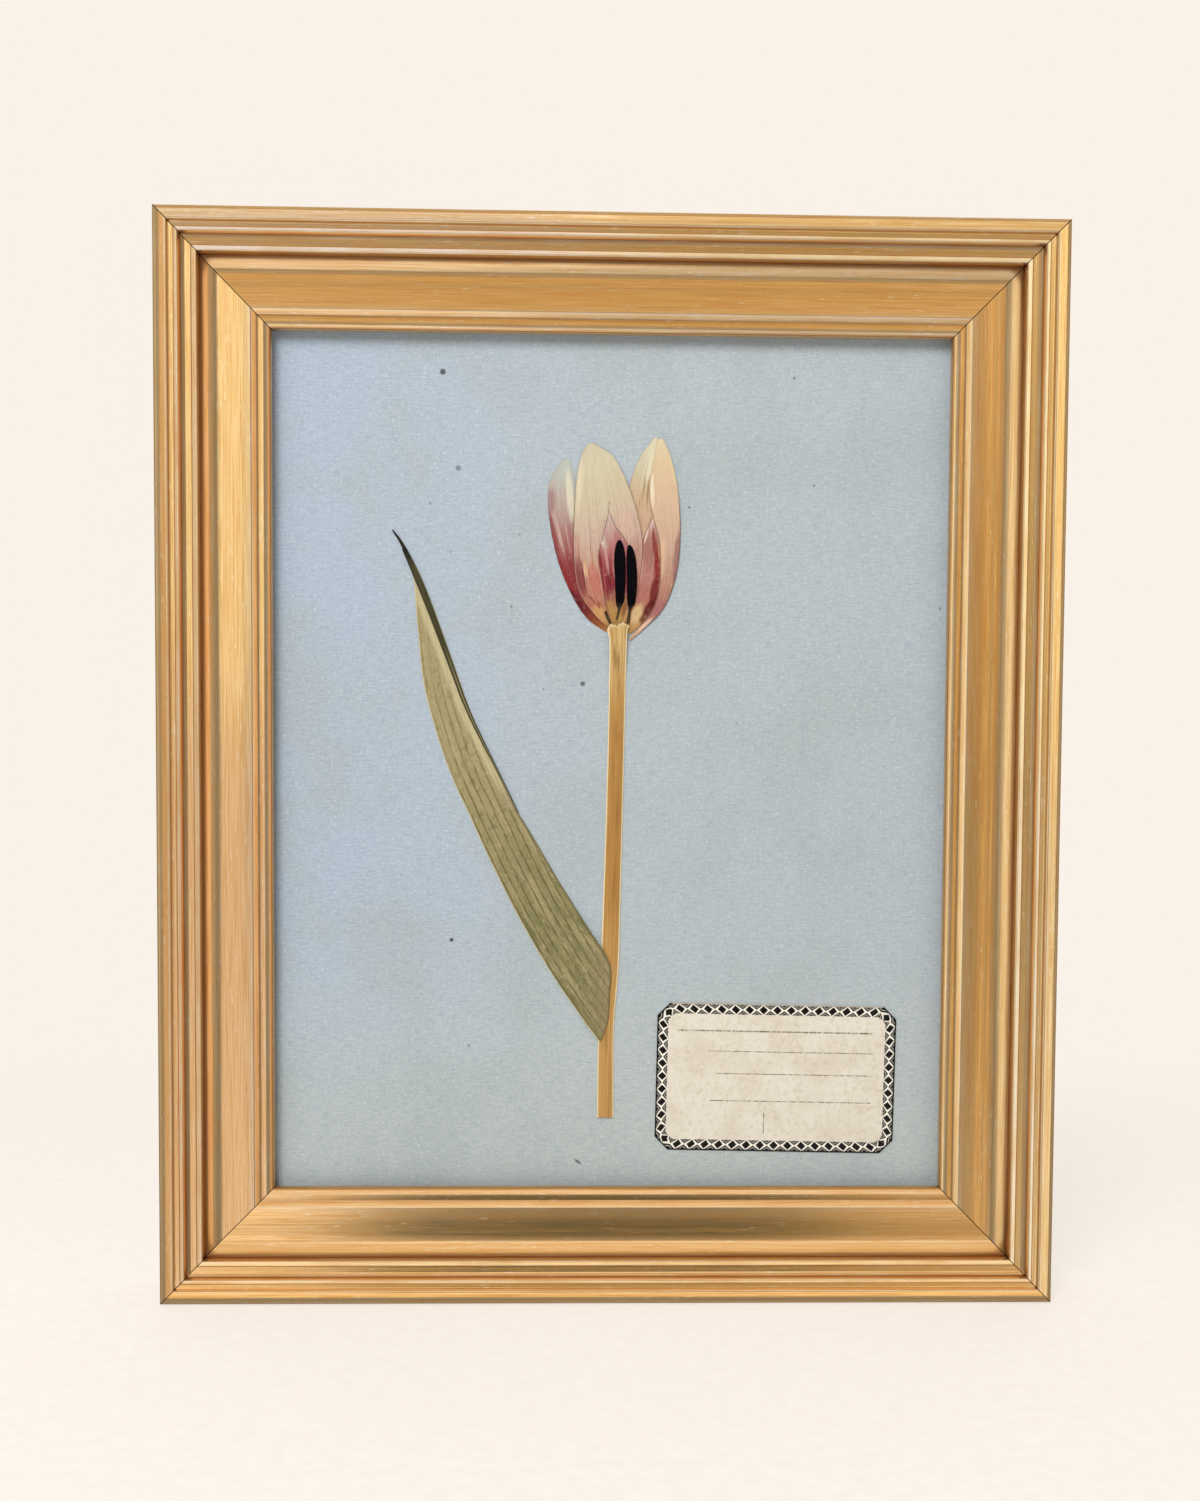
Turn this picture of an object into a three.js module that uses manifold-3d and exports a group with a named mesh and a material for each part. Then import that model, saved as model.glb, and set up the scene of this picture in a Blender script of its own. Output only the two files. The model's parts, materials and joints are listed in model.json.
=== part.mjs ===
// A pressed tulip on paper, under glass in a stepped gilt picture frame.
// Millimetres, +Z up. The front faces -Y, and the backs of the rails lie in the plane Y = 0.
// The origin is the middle notch of the hanger, level with the backs of the rails.
import * as THREE from "three";
import { mergeVertices } from "three/addons/utils/BufferGeometryUtils.js";
import Module from "manifold-3d";

const wasm = await Module();
wasm.setup();

// Driving dimensions
const sight = { width: 190.5, height: 241.3 }; // the opening that shows the picture
const faceWidth = 29.4; // of the moulding, seen from the front
const depth = 26.5; // from the wall to the crest of the moulding
const rabbet = { width: 6.9, depth: 17 }; // behind the lip; its depth is taken from the crest
const mitreGap = 0.15; // cut back from each end of a rail
const pane = { width: 203, height: 253.8, thick: 2 }; // glass for a 203 by 254 mm rabbet
const fitGap = 0.1; // between sheets laid flat on each other
const specimenRoom = 2.1; // between the glass and the paper
const paperThick = 0.4;
const boardThick = 2.5;
const point = { width: 8, out: 9, buried: 4, thick: 0.5, fromMiddle: { long: 70, short: 50 } };
const slotGap = 0.3; // around a steel point where it enters a rail
const hanger = { length: 45, height: 9, thick: 0.8, fromTop: 6.5, nailSpacing: 38 };
const hangerBend = { endLength: 9, run: 1.5, raise: 1.2 }; // from each flat end up to the raised middle
const teeth = { count: 11, pitch: 2.2, deep: 1.3 };
const nail = { shank: 0.7, head: 1.9, crown: 0.9, length: 9, tip: 1.5, hole: 1.1 };
const petalThick = 0.16;
const petalStep = 0.22; // from one layer of petals to the next
const labelCard = { width: 69.2, height: 43.3, clip: 3.8, thick: 0.3, x: 48.3, z: -89.5, tilt: -0.6 };

const outer = { width: sight.width + 2 * faceWidth, height: sight.height + 2 * faceWidth };
const glassFront = rabbet.depth + fitGap;
const paperFront = glassFront + pane.thick + specimenRoom;
const boardFront = paperFront + paperThick + fitGap;
const pointFront = boardFront + boardThick + fitGap;
const notchDrop = hanger.fromTop + hanger.height - teeth.deep; // from the frame's top edge

const finish = (color, roughness, metalness = 0) => ({ color, roughness, metalness });
const gilt = finish(0xd9ad6c, 0.4, 0.6);
const steel = finish(0xa9abac, 0.35, 0.9);
const cream = finish(0xe0d3ae, 0.8);
const peach = finish(0xe2c4a4, 0.8);
const rose = finish(0xb9666c, 0.8);
const anther = finish(0x1c1420, 0.7);

function part(name, geometry, look) {
  const mesh = new THREE.Mesh(geometry, new THREE.MeshStandardMaterial(look));
  mesh.name = name;
  return mesh;
}

function solidOf(geometry) {
  const bare = geometry.clone();
  bare.deleteAttribute("normal");
  bare.deleteAttribute("uv");
  const merged = mergeVertices(bare, 1e-4);
  const vertProperties = new Float32Array(merged.attributes.position.array);
  const triVerts = new Uint32Array(merged.index.array);
  return new wasm.Manifold(new wasm.Mesh({ numProp: 3, vertProperties, triVerts }));
}

function geometryOf(solid) {
  const { vertProperties, triVerts } = solid.getMesh();
  const geometry = new THREE.BufferGeometry();
  geometry.setAttribute("position", new THREE.BufferAttribute(vertProperties, 3));
  geometry.setIndex(new THREE.BufferAttribute(triVerts, 1));
  return geometry;
}

// A closed outline whose corners, given as [x, y, rounding], are eased by short curves
function roundedShape(corners) {
  const shape = new THREE.Shape();
  corners.forEach(([x, y, rounding], i) => {
    const corner = new THREE.Vector2(x, y);
    const towards = (j) => {
      const [nx, ny] = corners.at(j % corners.length);
      return new THREE.Vector2(nx, ny).sub(corner).setLength(rounding).add(corner);
    };
    const start = rounding ? towards(i - 1) : corner;
    const end = rounding ? towards(i + 1) : corner;
    if (i === 0) shape.moveTo(start.x, start.y);
    else shape.lineTo(start.x, start.y);
    if (rounding) shape.quadraticCurveTo(x, y, end.x, end.y);
  });
  shape.closePath();
  return shape;
}

// The moulding's section, as [in from the outer side, behind the crest, rounding]
const rabbetWall = faceWidth - rabbet.width;
const section = roundedShape([
  [0, depth, 0],
  [0, 0.1, 1.3], // crest
  [2.15, 0, 0.3],
  [3.6, 0.1, 1.1],
  [3.67, 1.7, 0.08],
  [5.4, 1.85, 0.08],
  [5.5, 1.45, 0.2], // first bead, and the riser below it
  [6.55, 1.45, 0.35],
  [6.65, 4.4, 0.1],
  [7.9, 5, 0.4],
  [9.45, 5.15, 0.08],
  [9.55, 4.75, 0.2], // second bead and its riser
  [10.65, 4.75, 0.35],
  [10.75, 9, 0.1],
  [12.4, 10.4, 0.7], // cove
  [15.2, 11.9, 0.2],
  [19.5, 12.3, 2], // broad band
  [23.7, 13.2, 0.2],
  [25.2, 14.2, 0.4],
  [27.6, 14.5, 0.9], // lip at the sight edge
  [faceWidth, 15.6, 1],
  [faceWidth, rabbet.depth, 0],
  [rabbetWall, rabbet.depth, 0],
  [rabbetWall, depth, 0],
]);

// One mitred rail: its section lies in XY and it runs along +Z
function railGeometry(length) {
  const settings = { depth: length, bevelEnabled: false, curveSegments: 3 };
  const geometry = new THREE.ExtrudeGeometry(section, settings);
  const position = geometry.attributes.position;
  for (let i = 0; i < position.count; i += 1) {
    const inset = position.getX(i) + mitreGap;
    position.setZ(i, position.getZ(i) > length / 2 ? length - inset : inset);
  }
  return geometry;
}

function pointGeometry(along) {
  const half = point.width / 2;
  const shape = new THREE.Shape();
  shape.moveTo(-point.buried, -half);
  shape.lineTo(point.out - half, -half);
  shape.absarc(point.out - half, 0, half, -Math.PI / 2, Math.PI / 2);
  shape.lineTo(-point.buried, half);
  shape.closePath();
  const settings = { depth: point.thick, bevelEnabled: false, curveSegments: 5 };
  const geometry = new THREE.ExtrudeGeometry(shape, settings);
  return geometry.rotateX(Math.PI / 2).translate(rabbetWall, pointFront + point.thick, along);
}

function slotSolid(along) {
  const reach = point.buried + slotGap;
  const size = [2 * reach, point.thick + 2 * slotGap, point.width + 2 * slotGap];
  const slot = new THREE.BoxGeometry(...size);
  return solidOf(slot.translate(rabbetWall, pointFront + point.thick / 2, along));
}

function nailHole(along) {
  const drop = hanger.fromTop + hanger.height / 2;
  const hole = new THREE.CylinderGeometry(nail.hole, nail.hole, 2 * (nail.length + 1), 12);
  return solidOf(hole.translate(drop, depth, along));
}

function nailGeometry(along) {
  const { shank, head, crown, length, tip } = nail;
  const outline = [
    [0, -length], [shank, tip - length], [shank, 0], [head, 0], [0.75 * head, 0.7 * crown], [0, crown],
  ].map(([radius, height]) => new THREE.Vector2(radius, height));
  const seat = depth + 2 * fitGap + hanger.thick;
  return new THREE.LatheGeometry(outline, 12).translate(hanger.fromTop + hanger.height / 2, seat, along);
}

// The hanger is a strip with its middle raised off the wood and teeth along its lower edge
function hangerGeometry(length, nailsAt) {
  const { height, thick } = hanger;
  const { endLength, run: bendRun, raise } = hangerBend;
  const half = hanger.length / 2;
  const flatEnd = half - endLength;
  const raised = flatEnd - bendRun;
  const line = [[-half, 0], [-flatEnd, 0], [-raised, raise], [raised, raise], [flatEnd, 0], [half, 0]];
  const backLine = line.map(([x, y]) => [x, y + thick]).reverse();
  const strip = new THREE.Shape([...line, ...backLine].map(([x, y]) => new THREE.Vector2(x, y)));
  const bar = new THREE.ExtrudeGeometry(strip, { depth: height, bevelEnabled: false });
  bar.rotateY(Math.PI / 2).translate(hanger.fromTop, depth + fitGap, length / 2);

  const zigzag = new THREE.Shape();
  const run = (teeth.count * teeth.pitch) / 2;
  zigzag.moveTo(-run, 1);
  for (let i = 0; i <= teeth.count; i += 1) {
    zigzag.lineTo(-run + i * teeth.pitch, 0);
    if (i < teeth.count) zigzag.lineTo(-run + (i + 0.5) * teeth.pitch, -teeth.deep);
  }
  zigzag.lineTo(run, 1);
  zigzag.closePath();
  const cut = new THREE.ExtrudeGeometry(zigzag, { depth: 2 * (raise + thick), bevelEnabled: false });
  cut.rotateZ(-Math.PI / 2).rotateX(-Math.PI / 2).translate(hanger.fromTop + height, depth, length / 2);
  const holes = nailsAt.map(nailHole);
  return geometryOf(holes.reduce((solid, hole) => solid.subtract(hole), solidOf(bar).subtract(solidOf(cut))));
}

// One side of the frame: its rail, the steel points set in it and, on the top rail, the hanger
function side(name, length, fromMiddle, firstPoint, fittings = {}) {
  const group = new THREE.Group();
  const pointsAt = [length / 2 - fromMiddle, length / 2 + fromMiddle];
  const nailsAt = fittings.hanger ? [-1, 1].map((end) => (length + end * hanger.nailSpacing) / 2) : [];
  const cuts = [...pointsAt.map(slotSolid), ...nailsAt.map(nailHole)];
  const rail = cuts.reduce((solid, cut) => solid.subtract(cut), solidOf(railGeometry(length)));
  group.add(part(name, geometryOf(rail), gilt));
  pointsAt.forEach((along, i) => group.add(part(`point_${firstPoint + i}`, pointGeometry(along), steel)));
  if (fittings.hanger) {
    group.add(part("hanger", hangerGeometry(length, nailsAt), steel));
    group.add(part("hanger_nail_left", nailGeometry(nailsAt[0]), steel));
    group.add(part("hanger_nail_right", nailGeometry(nailsAt[1]), steel));
  }
  return group;
}

function placed(group, turn, x, z) {
  group.rotation.y = turn;
  group.position.set(x, -depth, z);
  return group;
}

// A sheet that fills the rabbet, its front face at a depth behind the crest
function sheet(name, front, thick, look) {
  const mesh = part(name, new THREE.BoxGeometry(pane.width, thick, pane.height), look);
  mesh.position.y = front + thick / 2 - depth;
  return mesh;
}

// A pressed piece between a left and a right edge, each drawn from its base to its tip as [x, z] points.
// lift is the height of the underside above the paper at [x, along], and thick the thickness at
// [across, along], where along and across run from 0 to 1. A crowding above 1 draws the rows to the tip.
function pressedGeometry({ left, right, rows, columns, lift, thick, crowding = 1 }) {
  const curve = (points) => new THREE.SplineCurve(points.map(([x, z]) => new THREE.Vector2(x, z)));
  const edges = [curve(left), curve(right)];
  const positions = [];
  const grid = (isFront) => {
    for (let row = 0; row <= rows; row += 1) {
      const along = 1 - (1 - row / rows) ** crowding;
      const [start, end] = edges.map((edge) => edge.getPointAt(along));
      for (let column = 0; column <= columns; column += 1) {
        const across = column / columns;
        const spot = start.clone().lerp(end, across);
        const height = lift(spot.x, along) + (isFront ? thick(across, along) : 0);
        positions.push(spot.x, -height, spot.y);
      }
    }
  };
  grid(true);
  grid(false);

  const stride = columns + 1;
  const under = stride * (rows + 1); // from a front corner to the one behind it
  const index = [];
  const quad = (a, b, c, d) => index.push(a, b, c, a, c, d);
  const wall = (a, b) => quad(b, a, a + under, b + under);
  for (let row = 0; row < rows; row += 1) {
    for (let column = 0; column < columns; column += 1) {
      const a = row * stride + column;
      quad(a, a + 1, a + stride + 1, a + stride);
      quad(a + under, a + stride + under, a + stride + 1 + under, a + 1 + under);
    }
    wall((row + 1) * stride, row * stride);
    wall(row * stride + columns, (row + 1) * stride + columns);
  }
  for (let column = 0; column < columns; column += 1) {
    wall(column, column + 1);
    wall(rows * stride + column + 1, rows * stride + column);
  }
  const geometry = new THREE.BufferGeometry();
  geometry.setAttribute("position", new THREE.Float32BufferAttribute(positions, 3));
  geometry.setIndex(index);
  return geometry;
}

const smooth = THREE.MathUtils.smoothstep;
const layer = (level) => 0.04 + level * petalStep;

// Petals lie in four layers. settle is how far the tip drops towards the paper.
function petal(name, look, level, edges, settle = 0) {
  const lift = (x, along) => layer(level) - settle * smooth(along, 0.66, 1);
  const thick = () => petalThick;
  return part(name, pressedGeometry({ ...edges, rows: 14, columns: 6, lift, thick }), look);
}

const petals = [
  petal("petal_left", rose, 0, {
    left: [[-0.6, 38.1], [-7.3, 42.6], [-12.4, 50.7], [-16.2, 61], [-18.3, 73], [-18, 81], [-14.5, 86.8],
      [-13.1, 87.7]],
    right: [[0.8, 39.6], [-4, 52], [-8.4, 66], [-10.5, 79], [-11.3, 83.5], [-12.5, 87.4]],
  }),
  petal("petal_back_right", peach, 0, {
    left: [[4, 38.4], [3.6, 52], [3.2, 68], [4.5, 79.5], [7.5, 88], [11.6, 93.6]],
    right: [[5.6, 38.8], [10.5, 52], [13, 68], [13.8, 82], [12.5, 93.8]],
  }),
  petal("petal_inner_right", rose, 1, {
    left: [[3.4, 39.6], [5, 50], [7, 60], [9.4, 67], [11, 71]],
    right: [[5, 38.2], [9, 41.6], [12.6, 47.8], [14.1, 56], [13.8, 63], [12.7, 68], [11.7, 71]],
  }),
  petal("petal_centre", cream, 2, {
    left: [[-0.4, 39.6], [-5, 43.5], [-9.5, 50], [-11, 60], [-10.9, 75], [-9.6, 86.5], [-7.4, 91.5]],
    right: [[3.6, 40], [6.2, 46.5], [7.7, 54], [8.5, 63], [7.3, 71], [4.6, 79.5], [0.3, 87.8], [-4, 91],
      [-6.2, 91.9]],
  }, petalStep),
  petal("petal_right", peach, 2, {
    left: [[4.6, 36.8], [8.6, 41.2], [12, 46.4], [13.5, 54], [13.2, 64], [11.4, 71.4], [10.3, 77], [11, 85],
      [12.5, 93.2]],
    right: [[5.2, 36.5], [9, 39.7], [14.5, 45.5], [18, 54.5], [19.2, 66], [18.4, 79], [16.2, 88.6],
      [13.9, 93.4]],
  }, 0.8 * petalStep),
  petal("petal_inner_left", rose, 3, {
    left: [[0, 41.4], [-1.8, 46], [-3.2, 53.6], [-4.15, 60], [-3, 65.2], [-1.5, 71.6]],
    right: [[2.8, 41.6], [4.8, 49], [5.4, 57], [3.8, 64.4], [1, 68.2], [-0.6, 72]],
  }),
];

// Each stamen is a thin filament that swells into its anther, rounded across
function stamen(name, look, rows, fullness, edges) {
  const lift = () => layer(4);
  const thick = (across, along) => {
    const swell = fullness * smooth(along, 0.15, 0.3) * (1 - smooth(along, 0.9, 1));
    return 0.18 + swell * Math.sin(Math.PI * across);
  };
  return part(name, pressedGeometry({ ...edges, rows, columns: 6, lift, thick }), look);
}

const stamens = [
  stamen("stamen_left", anther, 13, 0.42, {
    left: [[1, 42], [1.5, 45], [1, 47], [0.7, 53], [0.4, 59], [0.8, 63], [1.5, 64.6]],
    right: [[1.5, 42.2], [2.6, 46], [3.4, 48], [3.7, 54], [3.6, 60], [3, 63.2], [2.2, 64.7]],
  }),
  stamen("stamen_right", anther, 13, 0.42, {
    left: [[4, 41.2], [4.5, 45], [4.15, 48], [4.1, 53], [3.9, 59], [4.1, 62.4], [4.4, 63.2]],
    right: [[4.9, 41.2], [5.4, 45.2], [6.5, 47.4], [7, 54], [6.5, 59.8], [5.6, 62.6], [4.9, 63.3]],
  }),
  stamen("stamen_side", finish(0x4a3c2c, 0.7), 4, 0.1, {
    left: [[-0.6, 40.4], [-1.7, 42.6], [-2.4, 44.4]],
    right: [[0.1, 40.6], [-0.9, 43], [-1.7, 44.8]],
  }),
];

// The stem is a flattened tube with fuller edges. Its flared top lies over the bases of the petals.
const stemTop = layer(4) + 0.3;
const stem = part("stem", pressedGeometry({
  left: [[-3.5, -100.8], [-3.4, -80], [-2.9, -60], [-2.2, -40], [-1.2, 0], [-0.8, 30], [-0.9, 36.5],
    [-1.4, 39.2], [-0.6, 40.4]],
  right: [[1.3, -100.8], [1.2, -80], [1.5, -70], [2.5, -57.5], [2.9, -40], [3.6, 0], [4.1, 30], [4.3, 38.4],
    [4.7, 40.6], [3.4, 41.4]],
  rows: 24,
  columns: 8,
  crowding: 1.6,
  lift: (x, along) => stemTop * smooth(along, 0.88, 0.96),
  thick: (across) => {
    const crown = 0.3 * Math.sin(Math.PI * across) ** 0.5;
    return 0.35 + crown + 0.2 * Math.sin(2 * Math.PI * across) ** 2;
  },
}), finish(0xd5ad6c, 0.75));

// The leaf climbs onto the stem at its base, and a strip of it is rolled over along the upper edge
const leafThick = 0.25;
const leafLift = (x) => 0.05 + 1.05 * smooth(x, -11, -3.6);
const leafBlade = pressedGeometry({
  left: [[-2.9, -78.8], [-7.6, -72.6], [-16, -60.5], [-25, -45.3], [-33.4, -29], [-40.3, -14.2], [-46, -1.6],
    [-50.3, 11], [-53.7, 24.7], [-55.3, 40], [-56.6, 54], [-59.7, 62.1], [-62.5, 66.8]],
  right: [[-2.5, -78.2], [-0.5, -72], [-0.1, -65], [-0.3, -55.5], [-7.1, -44.7], [-15, -32.1], [-22.4, -19.5],
    [-28.7, -9.2], [-34.5, 3.7], [-40.3, 16.3], [-45, 29.5], [-49.2, 41.1], [-53.9, 53.2], [-58.7, 62.4],
    [-62.2, 67]],
  rows: 30,
  columns: 5,
  lift: leafLift,
  thick: () => leafThick,
});
const leafRoll = pressedGeometry({
  left: [[-26.8, -12.6], [-32.2, -2.2], [-37.8, 8.4], [-42.2, 17.6], [-46.6, 29], [-51.4, 41.4],
    [-55.8, 52.4], [-59.6, 61.4]],
  right: [[-26.2, -13.2], [-31.3, -2.6], [-37.1, 9.2], [-40.9, 17.6], [-45.2, 29.5], [-49.4, 41.1],
    [-54.1, 53.2], [-58.9, 62]],
  rows: 20,
  columns: 3,
  lift: (x) => leafLift(x) + leafThick - 0.1,
  thick: (across) => 0.2 + 0.25 * Math.sin(Math.PI * across),
});
const leaf = part("leaf", geometryOf(solidOf(leafBlade).add(solidOf(leafRoll))), finish(0x8f8a5a, 0.8));

function label() {
  const { width, height, clip, thick, x, z, tilt } = labelCard;
  const shape = new THREE.Shape();
  const corners = [[-1, -1], [1, -1], [1, 1], [-1, 1]];
  corners.forEach(([sx, sz], i) => {
    const across = new THREE.Vector2(sx * (width / 2 - clip), (sz * height) / 2);
    const upright = new THREE.Vector2((sx * width) / 2, sz * (height / 2 - clip));
    const [first, second] = i % 2 ? [across, upright] : [upright, across];
    if (i === 0) shape.moveTo(first.x, first.y);
    else shape.lineTo(first.x, first.y);
    shape.lineTo(second.x, second.y);
  });
  shape.closePath();
  const geometry = new THREE.ExtrudeGeometry(shape, { depth: thick, bevelEnabled: false });
  const card = part("label", geometry.rotateX(Math.PI / 2).translate(0, -0.05, 0), finish(0xe4dccd, 0.9));
  card.position.set(x, 0, z);
  card.rotation.y = -THREE.MathUtils.degToRad(tilt);
  return card;
}

// Everything that lies on the paper is placed from the paper's face
const specimen = new THREE.Group();
specimen.position.y = paperFront - depth;
specimen.add(...petals, ...stamens, stem, leaf, label());

const halfWidth = outer.width / 2;
const halfHeight = outer.height / 2;
const frame = new THREE.Group();
frame.position.z = notchDrop - halfHeight;
const { long: longPoints, short: shortPoints } = point.fromMiddle;
const leftSide = side("rail_left", outer.height, longPoints, 1);
const topSide = side("rail_top", outer.width, shortPoints, 3, { hanger: true });
const rightSide = side("rail_right", outer.height, longPoints, 5);
const bottomSide = side("rail_bottom", outer.width, shortPoints, 7);
frame.add(placed(leftSide, 0, -halfWidth, -halfHeight));
frame.add(placed(topSide, Math.PI / 2, -halfWidth, halfHeight));
frame.add(placed(rightSide, Math.PI, halfWidth, halfHeight));
frame.add(placed(bottomSide, -Math.PI / 2, halfWidth, -halfHeight));
frame.add(sheet("glass", glassFront, pane.thick, finish(0xf4f8f8, 0.02)));
frame.add(sheet("mount_paper", paperFront, paperThick, finish(0xb9c5cf, 0.95)));
frame.add(sheet("backing_board", boardFront, boardThick, finish(0x8c8378, 0.9)));
frame.add(specimen);

const object = new THREE.Group();
object.add(frame);
object.updateMatrixWorld(true);

export default object;
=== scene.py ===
import json
import math

import bmesh
import bpy
import numpy as np
from mathutils import Matrix, Vector, noise

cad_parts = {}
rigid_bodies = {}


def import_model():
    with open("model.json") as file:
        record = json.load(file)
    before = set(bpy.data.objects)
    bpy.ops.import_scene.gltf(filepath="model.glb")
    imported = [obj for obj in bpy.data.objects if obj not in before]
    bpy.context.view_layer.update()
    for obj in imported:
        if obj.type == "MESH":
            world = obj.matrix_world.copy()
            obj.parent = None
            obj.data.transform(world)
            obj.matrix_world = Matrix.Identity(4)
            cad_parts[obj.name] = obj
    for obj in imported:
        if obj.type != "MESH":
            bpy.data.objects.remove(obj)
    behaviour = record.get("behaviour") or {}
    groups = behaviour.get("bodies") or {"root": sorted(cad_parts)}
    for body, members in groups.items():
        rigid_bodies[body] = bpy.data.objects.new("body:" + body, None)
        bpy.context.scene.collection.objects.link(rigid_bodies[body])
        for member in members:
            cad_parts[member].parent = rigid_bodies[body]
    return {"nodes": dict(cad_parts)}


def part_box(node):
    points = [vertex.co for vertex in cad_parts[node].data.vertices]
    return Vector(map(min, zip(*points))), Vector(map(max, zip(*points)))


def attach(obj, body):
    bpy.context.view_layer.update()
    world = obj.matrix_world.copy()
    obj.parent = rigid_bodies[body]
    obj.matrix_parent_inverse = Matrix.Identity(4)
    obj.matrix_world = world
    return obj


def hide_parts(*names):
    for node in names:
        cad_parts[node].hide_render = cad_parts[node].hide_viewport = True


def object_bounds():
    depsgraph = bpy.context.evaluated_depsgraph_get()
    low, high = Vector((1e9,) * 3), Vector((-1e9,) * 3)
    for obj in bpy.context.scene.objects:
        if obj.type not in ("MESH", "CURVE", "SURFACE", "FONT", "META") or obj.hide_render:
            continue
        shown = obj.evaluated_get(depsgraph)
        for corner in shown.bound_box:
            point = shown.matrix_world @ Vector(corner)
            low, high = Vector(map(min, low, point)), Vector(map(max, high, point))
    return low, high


for leftover in list(bpy.data.objects):
    bpy.data.objects.remove(leftover)
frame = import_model()
cadLow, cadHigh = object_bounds()
print("frame loaded:", len(frame["nodes"]), "nodes")

mm = 0.001
mergeReach = 1e-6  # points nearer than this are one point
specimenOff = (0.2, -0.65)  # millimetres right of and above the sheet's middle
paperLow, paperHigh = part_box("mount_paper")
paperFace = paperLow.y  # the specimen lies on this face, towards -Y
centreX = (paperLow.x + paperHigh.x) / 2 + specimenOff[0] * mm
centreZ = (paperLow.z + paperHigh.z) / 2 + specimenOff[1] * mm


# colours are written as they look on screen
def tint(code, strength=1.0):
    parts = [int(code[i:i + 2], 16) / 255 for i in (0, 2, 4)]
    linear = [p / 12.92 if p <= 0.04045 else ((p + 0.055) / 1.055) ** 2.4 for p in parts]
    return [strength * p for p in linear] + [1.0]


# short names for the shader nodes that every finish uses; a socket knows which tree it belongs to
def wire(value, socket):
    if isinstance(value, bpy.types.NodeSocket):
        socket.id_data.links.new(value, socket)
    else:
        socket.default_value = value


def newNode(kind, *values, **settings):
    tree = next(value.id_data for value in values if isinstance(value, bpy.types.NodeSocket))
    node = tree.nodes.new("ShaderNode" + kind)
    for name, setting in settings.items():
        setattr(node, name, setting)
    for value, socket in zip(values, [s for s in node.inputs if s.enabled]):
        wire(value, socket)
    return node


def calc(operation, *values):
    return newNode("Math", *values, operation=operation).outputs[0]


def plus(first, second):
    return calc("ADD", first, second)


def times(first, second):
    return calc("MULTIPLY", first, second)


def apart(first, second):
    return calc("ABSOLUTE", calc("SUBTRACT", first, second))


def measured(operation, *vectors):
    return newNode("VectorMath", *vectors, operation=operation).outputs["Value"]


def fade(value, start, end, low=0.0, high=1.0):
    return newNode("MapRange", value, start, end, low, high, interpolation_type="SMOOTHSTEP").outputs[0]


def blend(factor, first, second, mode="MIX"):
    return newNode("Mix", factor, first, second, data_type="RGBA", blend_type=mode).outputs[2]


def paint(tone, amount, code):
    return blend(amount, tone, tint(code))


def between(amount, look, first, second):
    return blend(amount, tint(look[first]), tint(look[second]))


# each coat: a pattern, where it starts and is full, how much it then covers, and its colour in the look
def coats(tone, look, *layers):
    for pattern, start, end, amount, colour in layers:
        tone = paint(tone, fade(pattern, start, end, 0, amount), look[colour])
    return tone


def ramp(value, stops):
    node = newNode("ValToRGB", value)
    elements = node.color_ramp.elements
    while len(elements) < len(stops):
        elements.new(0.5)
    for element, (place, code) in zip(elements, stops):
        element.position = place
        element.color = tint(code)
    return node.outputs[0]


def mapped(vector, scale=(1, 1, 1), location=(0, 0, 0), turn=(0, 0, 0), kind="POINT"):
    return newNode("Mapping", vector, location, turn, scale, vector_type=kind).outputs[0]


# noise, stretched where its scale is three numbers
def grain(vector, scale, detail, rough, warp=0.0):
    if isinstance(scale, tuple):
        vector, scale = mapped(vector, scale), 1
    node = newNode("TexNoise", vector)
    for name, value in (("Scale", scale), ("Detail", detail), ("Roughness", rough), ("Distortion", warp)):
        node.inputs[name].default_value = value
    return node.outputs[0]


def coords(tree, kind):
    return tree.nodes.new("ShaderNodeTexCoord").outputs[kind]


def parted(vector):
    return newNode("SeparateXYZ", vector).outputs


def stored(tree, name):
    node = tree.nodes.new("ShaderNodeAttribute")
    node.attribute_name = name
    return node.outputs["Fac"]


def cameraRay(tree):
    return tree.nodes.new("ShaderNodeLightPath").outputs["Is Camera Ray"]


def finish(name, rough=0.5, sheen=0.5, more={}):
    material = bpy.data.materials.new(name)
    material.use_nodes = True
    tree = material.node_tree
    shader = tree.nodes["Principled BSDF"]
    for socket, value in {"Roughness": rough, "Specular IOR Level": sheen, **more}.items():
        shader.inputs[socket].default_value = value
    return material, tree, shader


# gives a finish its colour, and its fine relief with a depth in millimetres
def cover(shader, tone, height, strength, depth):
    wire(tone, shader.inputs["Base Color"])
    bump = shader.id_data.nodes.new("ShaderNodeBump")
    for name, value in (("Height", height), ("Strength", strength), ("Distance", depth * mm)):
        wire(value, bump.inputs[name])
    wire(bump.outputs[0], shader.inputs["Normal"])


# millimetres right of and above the middle of the picture, as X and Z
def onPaper(tree):
    return mapped(coords(tree, "Object"), (mm, mm, mm), (centreX, paperFace, centreZ), kind="TEXTURE")


anyDepth = 1e6  # so large a size that depth makes no difference


# a soft oval in those millimetres; lean tips its top to the right
def spot(place, middle, size, lean=0.0, edge=0.7):
    sizes, turn = (size[0], anyDepth, size[1]), (0, math.radians(lean), 0)
    local = mapped(place, sizes, (middle[0], 0, middle[1]), turn, "TEXTURE")
    return fade(measured("LENGTH", local), 1.0, 1.0 - edge)


def only(kind, parts):
    return [part for part in parts if isinstance(part, kind)]


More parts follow.
